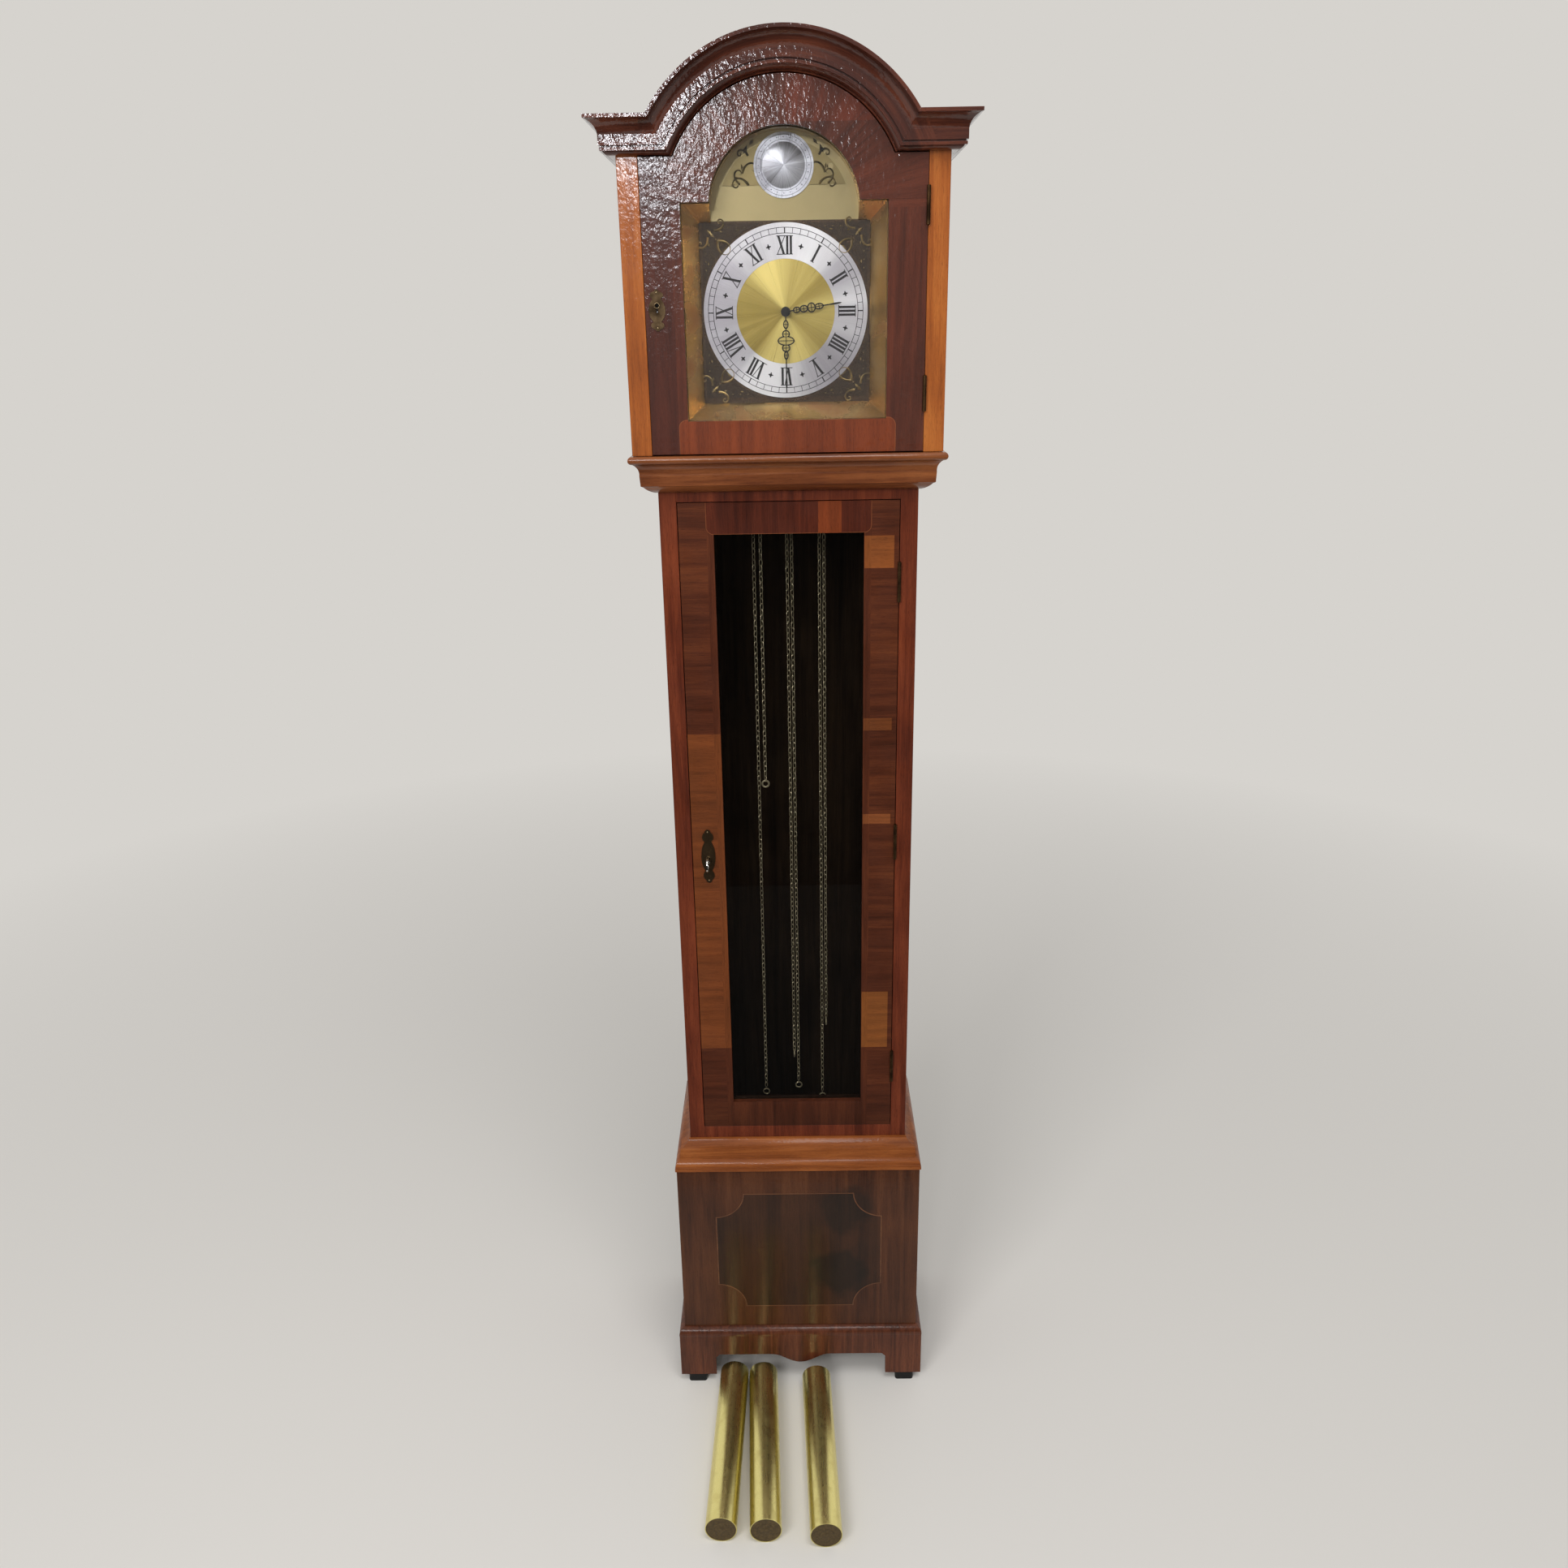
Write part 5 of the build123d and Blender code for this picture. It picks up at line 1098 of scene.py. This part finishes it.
    def boss_lines(self, black: Finish) -> None:
        """Fine circles and a ring of dots on the boss in the arch.

        Args:
            black: their material.
        """
        low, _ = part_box("arch_boss")
        face = low.y + 0.003
        pieces = []
        for radius in self.boss_circles:
            pieces.append(ring(radius, 0.0002, (96, 4), (0, face, self.boss_centre_z)))
        for step in range(self.boss_dots):
            turn = Matrix.Rotation(math.radians(step * 360 / self.boss_dots), 4, "Y")
            spot = turn @ Vector((0, 0, self.boss_dot_radius))
            place = (spot.x, face, self.boss_centre_z + spot.z)
            pieces.append(bead(0.0006, 0.5, (8, 5), place))
        finish_piece(joined(pieces, "boss_rings"), "case", black)

    def build(self) -> None:
        """Dress the dial and add what is engraved on it."""
        centre = (0.0, self.centre.y, self.centre.z)
        # each sunray finish carries a painted highlight wedge along its own way
        silver = Sunray(
            "silvered_ring", centre, (158, 154, 160), (226, 225, 226), 0.36, painted_glint=(0.25, 0.0, 0.97)
        )
        boss_spot = (0.0, self.centre.y, self.boss_centre_z)
        boss = Sunray(
            "silvered_boss", boss_spot, (140, 140, 146), (216, 218, 226), 0.3,
            painted_glint=(-0.5, 0.0, 0.87),
        )
        sun = Sunray(
            "sunray_brass", centre, (138, 118, 52), (222, 202, 122), 0.32, painted_glint=(-0.28, 0.0, 0.96)
        )
        plate = Matted("dial_matting", self.centre.z + self.arch_rise)
        black = Painted("black_hand_lacquer", (7, 7, 7), 0.5)
        ink = Painted("black_filling", (26, 23, 26), 0.6).material()
        dress(silver.material(), "chapter_ring")
        dress(boss.material(), "arch_boss")
        dress(sun.material(), "dial_centre")
        dress(plate.material(), "dial_plate")
        dress(black.material(), "minute_hand", "hour_hand")
        self.engraving(ink)
        self.boss_lines(ink)


@dataclass
class Castings:
    """The pierced ornaments in the dial's corners and arch."""

    wire: float = 0.0013
    square_half: float = 0.0955
    boss_centre_z: float = 1.737
    corner_leaves: Table = (
        (-0.0055, -0.0055, 45, 0.020), (-0.016, -0.002, 12, 0.012), (-0.002, -0.016, 78, 0.012),
        (-0.036, -0.001, 174, 0.011), (-0.001, -0.036, 276, 0.011),
    )
    corner_scrolls: Table = (
        (-0.012, -0.012, 170, 0.0105, 1), (-0.012, -0.012, 280, 0.0105, -1),
        (-0.008, -0.001, 185, 0.0085, -1), (-0.001, -0.008, 265, 0.0085, 1),
    )
    arch_leaves: Table = (
        (0.047, -0.002, 75, 0.022), (0.054, -0.012, 20, 0.016), (0.043, 0.016, 110, 0.014),
        (0.058, -0.019, -5, 0.013), (0.042, -0.017, 150, 0.012), (0.036, 0.024, 130, 0.010),
    )
    arch_scrolls: Table = (
        (0.040, -0.020, 60, 0.0105, -1), (0.047, -0.008, 100, 0.0100, 1),
        (0.050, -0.019, 30, 0.0085, 1), (0.040, 0.010, 70, 0.0070, -1),
    )

    def scroll(self, start: Pair, heading: float, size: float, hand: int) -> Piece:
        """A tapering scroll that starts at (x, z) and curls up to one side.

        Args:
            start: where the scroll begins, from the dial's centre.
            heading: the way it sets out, in degrees up from the right.
            size: the width of its curl.
            hand: 1 to curl left, -1 to curl right.

        Returns:
            The scroll as a mesh object.
        """
        curve = bpy.data.curves.new("scroll", "CURVE")
        curve.dimensions = "3D"
        curve.bevel_depth = self.wire
        curve.bevel_resolution = 1
        curve.resolution_u = 4
        line = curve.splines.new("NURBS")
        steps = 15
        line.points.add(steps - 1)
        x, z = start
        bearing = math.radians(heading)
        for step in range(steps):
            share = step / (steps - 1)
            point = line.points[step]
            point.co = (x, 0.0, z, 1.0)
            point.radius = 1.15 - 0.75 * share
            stride = size * (0.36 - 0.24 * share)
            bearing += hand * math.radians(8 + 42 * share)
            x += math.cos(bearing) * stride
            z += math.sin(bearing) * stride
        line.order_u = 3
        line.use_endpoint_u = True
        made = bpy.data.objects.new("scroll", curve)
        bpy.context.scene.collection.objects.link(made)
        pick([made])
        bpy.ops.object.convert(target="MESH")
        return bpy.context.object

    def leaf(self, spot: Pair, heading: float, length: float) -> Piece:
        """A ridged leaf.

        Args:
            spot: its x and z.
            heading: the way it points, in degrees up from the right.
            length: its length.

        Returns:
            The leaf.
        """
        bpy.ops.mesh.primitive_cone_add(
            vertices=4, radius1=0.5, radius2=0.08, depth=1, location=(0, 0, 0), rotation=FACING
        )
        piece = settle(bpy.context.object)
        piece.data.transform(Matrix.Diagonal((length, self.wire * 1.8, length * 0.42, 1)))
        turn = Matrix.Rotation(-math.radians(heading), 4, "Y")
        piece.data.transform(Matrix.Translation((spot[0], 0, spot[1])) @ turn)
        return piece

    def corner(self) -> list[Piece]:
        """The upper right corner's ornament, from the dial's centre.

        Returns:
            Its pieces.
        """
        tip = self.square_half - 0.006
        pieces = [self.leaf((tip + x, tip + z), *rest) for x, z, *rest in self.corner_leaves]
        pieces += [self.scroll((tip + x, tip + z), *rest) for x, z, *rest in self.corner_scrolls]
        for share in range(4):
            spread = 0.010 + share * 0.009
            pieces.append(self.leaf((tip - spread - 0.006, tip + 0.002), 200, 0.006))
            pieces.append(self.leaf((tip + 0.002, tip - spread - 0.006), 250, 0.006))
        return pieces

    def arch_side(self) -> list[Piece]:
        """The ornament to the right of the boss, from the boss's centre."""
        leaves = [self.leaf((x, z), *rest) for x, z, *rest in self.arch_leaves]
        return leaves + [self.scroll((x, z), *rest) for x, z, *rest in self.arch_scrolls]

    def build(self) -> None:
        """Model the ornaments and let them stand for the plain plates."""
        low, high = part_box("spandrels")
        dial_low, dial_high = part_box("chapter_ring")
        centre_z = (dial_low.z + dial_high.z) / 2
        face = high.y - self.wire * 0.5
        flip_x = Matrix.Scale(-1, 4, (1, 0, 0))
        flip_z = Matrix.Scale(-1, 4, (0, 0, 1))
        brass = Metal("cast_brass", (158, 136, 90), (44, 36, 28), Sheen.TARNISHED, 0.38, 0.75)
        dull = Metal("cast_brass_dark", (112, 98, 62), (34, 29, 22), Sheen.TARNISHED, 0.4, 0.9)
        both_ways = (Matrix.Identity(4), flip_x)
        four_ways = both_ways + (flip_z, flip_x @ flip_z)
        for name, source, middle_z, mirrors, finish in (
            ("corner_castings", self.corner(), centre_z, four_ways, brass),
            ("arch_castings", self.arch_side(), self.boss_centre_z, both_ways, dull),
        ):
            placed = []
            for mirror in mirrors:
                place = Matrix.Translation((0, face, middle_z)) @ mirror
                placed += [copy_at(piece, place) for piece in source]
            for piece in source:
                drop(piece)
            castings = smooth(outward(joined(placed, name)), 50)
            finish_piece(castings, "case", finish.material())
        ground = Matted(
            "spandrel_ground", self.boss_centre_z - 0.05, (48, 38, 30), (92, 74, 52), (128, 114, 74)
        )
        dress(ground.material(), "spandrels")


@dataclass
class Chains:
    """Three link chains over their sprockets."""

    pitch: float = 0.0073
    link_length: float = 0.0097
    link_width: float = 0.0056
    wire: float = 0.0006
    lean_foot: float = 1.500
    lean_head: float = 1.530
    wobble: float = 9.0
    route_step: float = 0.0005
    turn_steps: int = 75
    sprocket_radius: float = 0.012
    sprocket_z: float = 1.543
    spacing: float = 0.042
    strand: dict[str, Pair] = field(
        default_factory=lambda: {
            "chain_left": (-0.0045, 0.0045),
            "chain_middle": (0.003, -0.003),
            "chain_right": (-0.003, 0.003),
        }
    )
    ends: dict[str, Pair] = field(
        default_factory=lambda: {
            "chain_left": (0.477, 0.978),
            "chain_middle": (0.488, 0.544),
            "chain_right": (0.468, 0.599),
        }
    )

    def link(self) -> Piece:
        """One link, standing upright.

        Returns:
            The link.
        """
        piece = ring(self.link_width / 2 - self.wire, self.wire, (12, 5))
        stretch = (self.link_length - self.link_width) / 2
        pick([piece])
        bpy.ops.object.mode_set(mode="EDIT")
        for sign in (1, -1):
            bpy.ops.mesh.select_all(action="DESELECT")
            bpy.ops.object.mode_set(mode="OBJECT")
            for vertex in piece.data.vertices:
                vertex.select = vertex.co.z * sign > 1e-6
            bpy.ops.object.mode_set(mode="EDIT")
            bpy.ops.mesh.select_mode(type="VERT")
            bpy.ops.transform.translate(value=(0, 0, sign * stretch))
        bpy.ops.object.mode_set(mode="OBJECT")
        return smooth(piece, 60)

    def route(self, name: str) -> list[Vector]:
        """Closely spaced points from the free end over the sprocket to the hook.

        Args:
            name: the chain's node.

        Returns:
            The points in order.
        """
        low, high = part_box(name)
        depth = (low.y + high.y) / 2
        middle = (list(self.strand).index(name) - 1) * self.spacing
        step = self.route_step
        halves = []
        for offset, end in zip(self.strand[name], self.ends[name]):
            side = math.copysign(self.sprocket_radius, self.strand[name][0])
            side = side if offset == self.strand[name][0] else -side
            points = []
            for index in range(int((self.sprocket_z - end - self.wire) / step)):
                z = end + self.wire + index * step
                share = min(1.0, max(0.0, (z - self.lean_foot) / (self.lean_head - self.lean_foot)))
                ease = share * share * (3 - 2 * share)
                points.append(Vector((middle + offset + (side - offset) * ease, depth, z)))
            halves.append(points)
        turn = []
        side = math.copysign(1, self.strand[name][0])
        for index in range(1, self.turn_steps):
            angle = math.pi * index / self.turn_steps
            x = middle + side * self.sprocket_radius * math.cos(angle)
            z = self.sprocket_z + self.sprocket_radius * math.sin(angle)
            turn.append(Vector((x, depth, z)))
        return halves[0] + turn + halves[1][::-1]

    def build(self) -> None:
        """Lay the links along each chain's route."""
        finish = Metal(
            "chain_brass", (160, 150, 122), (104, 94, 70), Sheen.TARNISHED, 0.4, 0.5, metallic=0.65
        ).material()
        link = self.link()
        chance = random.Random(7)
        for name in self.strand:
            points = self.route(name)
            links = []
            walked, due = 0.0, self.link_length / 2
            for before, after in zip(points, points[1:]):
                walked += (after - before).length
                if walked < due:
                    continue
                due += self.pitch
                stray = chance.uniform(-self.wobble, self.wobble)
                turn = math.radians(45 + 90 * (len(links) % 2) + stray)
                upright = (after - before).normalized().to_track_quat("Z", "Y").to_matrix().to_4x4()
                place = Matrix.Translation(after) @ upright @ Matrix.Rotation(turn, 4, "Z")
                links.append(copy_at(link, place))
            chain = joined(links, f"{name}_links")
            finish_piece(chain, "case", finish)
            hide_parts(name)
        drop(link)
        dress(finish, "chain_fittings")


@dataclass
class Weights:
    """The three brass weights and their turned end caps."""

    shell_radius: float = 0.022
    radius: float = 0.0208
    thickness: float = 0.0012
    sink: float = 0.0008
    names: tuple[str, ...] = ("left", "middle", "right")
    turning: tuple[Pair, ...] = (
        (0.0014, -0.0005), (0.0003, 0.0), (0.0082, 0.0), (0.0008, 0.0005), (0.0062, -0.0002),
        (0.0010, 0.0004), (0.0006, 0.0),
    )
    turns: dict[str, float] = field(
        default_factory=lambda: {"left": -1.7, "middle": 1.8, "right": 1.7}
    )

    def cap(self, name: str, finish: Finish) -> None:
        """A turned disc with a raised middle in the front end of one weight.

        Args:
            name: left, middle or right.
            finish: its material.
        """
        low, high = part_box(f"weight_{name}_shell")
        turn = math.radians(self.turns[name])
        bpy.ops.mesh.primitive_cylinder_add(vertices=64, radius=self.radius, depth=self.thickness)
        piece = bpy.context.object
        bpy.ops.object.mode_set(mode="EDIT")
        for inset, lift in self.turning:
            bpy.ops.mesh.select_all(action="DESELECT")
            bpy.ops.object.mode_set(mode="OBJECT")
            level = [face for face in piece.data.polygons if face.normal.z > 0.9]
            min(level, key=lambda face: face.center.xy.length + face.area * 0.01).select = True
            bpy.ops.object.mode_set(mode="EDIT")
            bpy.ops.mesh.select_mode(type="FACE")
            bpy.ops.mesh.inset(thickness=inset, depth=lift)
        bpy.ops.object.mode_set(mode="OBJECT")
        front_y = low.y + abs(math.sin(turn)) * (self.radius + 0.001)
        side = low.x if self.turns[name] < 0 else high.x
        centre_x = side - math.copysign(self.shell_radius, self.turns[name])
        place = (
            Matrix.Translation((centre_x, front_y + self.sink, self.shell_radius))
            @ Matrix.Rotation(turn, 4, "Z")
            @ Matrix.Rotation(math.pi / 2, 4, "X")
        )
        piece.data.transform(place)
        piece.name = f"weight_{name}_cap"
        finish_piece(smooth(piece, 30), f"{name}_weight", finish)

    def build(self) -> None:
        """Dress the weights and add their caps."""
        brass = Metal(
            "weight_brass", (228, 216, 142), (196, 176, 104), Sheen.POLISHED, 0.28, 0.3,
            brush=(1.0, 0.02, 1.0), brush_scale=1400.0, brush_depth=0.12,
        ).material()
        dark = Painted("cap_filling", (68, 55, 33), 0.6, 300.0).material()
        for name in self.names:
            dress(brass, f"weight_{name}_shell")
            dress(dark, f"weight_{name}_core")
            self.cap(name, dark)


@dataclass
class Fittings:
    """Locks, key plates, hinges, screws and the hidden works."""

    pin_radius: float = 0.0011
    pin_inset: float = 0.0035
    eye_radius: float = 0.0029
    keyholes: tuple[tuple[str, str, Pair], ...] = (
        ("trunk_escutcheon", "trunk_door", (-0.1155, 0.8900)),
        ("hood_escutcheon", "hood_door", (-0.1470, 1.5905)),
    )

    def key_plate_trim(self, node: str, body: str, eye: Pair, finish: Finish) -> None:
        """The raised rim round the keyhole's eye and the two pins of a key plate.

        Args:
            node: the key plate's node.
            body: the door it rides on.
            eye: the keyhole's x and z.
            finish: the brass.
        """
        low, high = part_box(node)
        pieces = [ring(self.eye_radius, self.pin_radius * 0.4, (32, 6), (eye[0], low.y, eye[1]))]
        for height in (low.z + self.pin_inset, high.z - self.pin_inset):
            pieces.append(bead(self.pin_radius, 0.45, (14, 8), (eye[0], low.y, height)))
        trim = joined(pieces, f"{node}_trim")
        finish_piece(smooth(trim, 40), body, finish)

    def build(self) -> None:
        """Dress the small metalwork."""
        aged = Metal("aged_brass_fitting", (98, 80, 58), (50, 38, 28), Sheen.TARNISHED, 0.42, 0.8)
        pale = Metal("worn_brass_trim", (170, 148, 112), (110, 90, 62), Sheen.SATIN, 0.3, 0.4)
        for node, body, eye in self.keyholes:
            self.key_plate_trim(node, body, eye, pale.material())
        knuckle = Metal(
            "browned_brass_hinge", (84, 62, 40), (40, 28, 20), Sheen.TARNISHED, 0.5, 0.8
        )
        dress(
            knuckle.material(), "trunk_case_hinges", "trunk_door_hinges", "hood_case_hinges",
            "hood_door_hinges",
        )
        steel = Metal("plain_steel", (150, 150, 150), (96, 92, 88), Sheen.SATIN, 0.35, 0.3)
        works = Metal("works_brass", (196, 162, 88), (140, 108, 58), Sheen.SATIN, 0.3, 0.3)
        bright = Metal("key_nickel", (206, 204, 198), (140, 136, 126), Sheen.POLISHED, 0.16, 0.2)
        dress(aged.material(), "trunk_escutcheon", "hood_escutcheon", edge=0.0002)
        dress(
            steel.material(), "backboard_screws", "trunk_lock", "hood_lock", "trunk_lock_bolt",
            "anchor", "pendulum_leader", "chime_rods",
        )
        dress(
            works.material(), "movement_frame", "time_great_wheel", "strike_great_wheel",
            "chime_great_wheel", "third_wheel", "escape_wheel", "minute_wheel",
        )
        dress(bright.material(), "trunk_key")


@dataclass
class Studio:
    """The floor, the light and the photograph's camera."""

    camera_spot: Spot = (0.00359, -1.4792, 1.55965)
    lens: float = 28.24
    down: float = 0.352
    turn: float = 0.00968
    roll: float = 0.017
    backdrop: Colour = (214, 211, 206)
    daylight: tuple[float, float, float, float] = (1.0, 0.985, 0.96, 1.0)
    floor_colour: Colour = (232, 229, 224)
    floor_radius: float = 14.0
    floor_fade: Pair = (0.7, 3.2)
    soft_light: float = 0.42
    room_glow: float = 0.22
    top_glow: float = 0.65
    wall_glow: float = 0.85
    card_colour: Colour = (30, 30, 28)
    card_width: float = 3.2
    card_places: tuple[tuple[Spot, float, float], ...] = (
        ((0, -1.75, 0.61), math.pi / 2, 1.22), ((0, -1.1, 0.003), 0.0, 1.32),
    )
    lamps: tuple[tuple[str, Spot, Spot, float, float, Spot], ...] = (
        ("key", (-1.6, -3.0, 3.0), (0, 0, 1.0), 1.4, 60.0, (1, 1, 1)),
        ("overhead", (0.4, -1.3, 3.3), (0, 0, 0.6), 1.2, 28.0, (1, 1, 1)),
        ("window", (-0.53, -3.6, 2.27), (0, 0, 1.6), 0.22, 12.0, (0.94, 0.95, 1.0)),
    )

    def camera(self) -> None:
        """Put the camera where the photograph was taken from."""
        data = bpy.data.cameras.new("camera")
        data.lens = self.lens
        data.sensor_width = 36.0
        data.sensor_fit = "HORIZONTAL"
        data.clip_start = 0.05
        data.clip_end = 60.0
        camera = bpy.data.objects.new("camera", data)
        bpy.context.scene.collection.objects.link(camera)
        camera.matrix_world = (
            Matrix.Translation(self.camera_spot)
            @ Matrix.Rotation(self.turn, 4, "Z")
            @ Matrix.Rotation(math.pi / 2 - self.down, 4, "X")
            @ Matrix.Rotation(-self.roll, 4, "Z")
        )
        bpy.context.scene.camera = camera

    def lamp(
        self, name: str, spot: Spot, target: Spot, size: float, power: float, tint: Spot
    ) -> None:
        """Hang an area light.

        Args:
            name: the lamp's name.
            spot: where it hangs.
            target: what it faces.
            size: its width in metres.
            power: its power in watts.
            tint: its linear colour.
        """
        data = bpy.data.lights.new(name, "AREA")
        data.shape = "SQUARE"
        data.size = size
        data.energy = power
        data.color = tint
        lamp = bpy.data.objects.new(name, data)
        bpy.context.scene.collection.objects.link(lamp)
        lamp.location = spot
        lamp.rotation_euler = (Vector(target) - Vector(spot)).to_track_quat("-Z", "Y").to_euler()

    def world(self) -> None:
        """Soft light, the pale backdrop where it is seen, and a dim room where gloss mirrors it.

        What is glossy sees the pale wall behind the clock and the ceiling, and the darker room
        in front of it, as lacquer and brass did in the photograph.
        """
        world = bpy.data.worlds.new("studio")
        world.use_nodes = True
        sheet = Nodes(world.node_tree)
        path = sheet.node("ShaderNodeLightPath").outputs
        place = sheet.node("ShaderNodeTexCoord").outputs["Generated"]
        way = sheet.node("ShaderNodeSeparateXYZ", {0: place}).outputs
        wall = sheet.spread(way[1], -0.1, 0.5, 0.0, self.wall_glow)
        top = sheet.spread(way[2], 0.3, 0.9, self.room_glow, self.top_glow)
        gloss = sheet.maths("MAXIMUM", wall, top)
        power = sheet.node(
            "ShaderNodeMix", {0: path["Is Glossy Ray"], 2: self.soft_light, 3: gloss}
        ).outputs[0]
        seen = sheet.maths("MAXIMUM", path["Is Camera Ray"], path["Is Transmission Ray"])
        shown, light = (
            sheet.node("ShaderNodeBackground", {"Color": colour, "Strength": strength}).outputs[0]
            for colour, strength in ((linear(self.backdrop), 1.0), (self.daylight, power))
        )
        mixed = sheet.node("ShaderNodeMixShader", {0: seen, 1: light, 2: shown})
        sheet.node("ShaderNodeOutputWorld", {"Surface": mixed.outputs[0]})
        bpy.context.scene.world = world

    def floor(self) -> None:
        """A wide pale floor that fades into the backdrop far from the clock."""
        clear_selection()
        bpy.ops.mesh.primitive_circle_add(
            vertices=96, radius=self.floor_radius, fill_type="NGON", location=(0, 0, 0)
        )
        floor = bpy.context.object
        floor.name = "studio_floor"
        sheet = Shader("studio_floor")
        pale = sheet.finish(Base_Color=linear(self.floor_colour), Roughness=0.85)
        floor.data.materials.append(pale)
        surface = sheet.tree.nodes["Principled BSDF"].outputs[0]
        out = sheet.tree.nodes["Material Output"].inputs["Surface"]
        shown = {"Color": linear(self.backdrop), "Strength": 1.0}
        backdrop = sheet.node("ShaderNodeEmission", shown)
        path = sheet.node("ShaderNodeLightPath").outputs
        seen = path["Is Transmission Ray"]
        for ray in ("Is Camera Ray", "Is Glossy Ray"):
            seen = sheet.maths("MAXIMUM", seen, path[ray])
        x, y, _ = sheet.axes()
        far = sheet.spread(sheet.length(x, y), *self.floor_fade, 0.0, 1.0)
        far = sheet.times(far, seen)
        mixed = sheet.node("ShaderNodeMixShader", {0: far, 1: surface, 2: backdrop.outputs[0]})
        sheet.tree.links.new(mixed.outputs[0], out)

    def cards(self) -> None:
        """Dark cards on the floor and behind the camera, met only by gloss and through glass."""
        shade = Shader("studio_card").finish(Base_Color=linear(self.card_colour), Roughness=0.9)
        for spot, turn, height in self.card_places:
            bpy.ops.mesh.primitive_plane_add(size=1, location=spot, rotation=(turn, 0, 0))
            card = bpy.context.object
            card.scale = (self.card_width, height, 1)
            card.name = "studio_card"
            card.data.materials.append(shade)
            card.visible_camera = card.visible_diffuse = card.visible_shadow = False

    def build(self) -> None:
        """Set up the studio."""
        self.camera()
        self.world()
        self.floor()
        self.cards()
        for lamp in self.lamps:
            self.lamp(*lamp)
        bpy.context.scene.view_settings.view_transform = "Standard"


def main() -> None:
    """Build every part of the scene in order."""
    logging.basicConfig(level=logging.INFO, format="%(message)s")
    clear_selection()
    for part in (Studio(), Case(), Hood(), Dial(), Castings(), Chains(), Weights(), Fittings()):
        part.build()
        LOG.info("%s done", type(part).__name__)


if __name__ == "__main__":
    main()
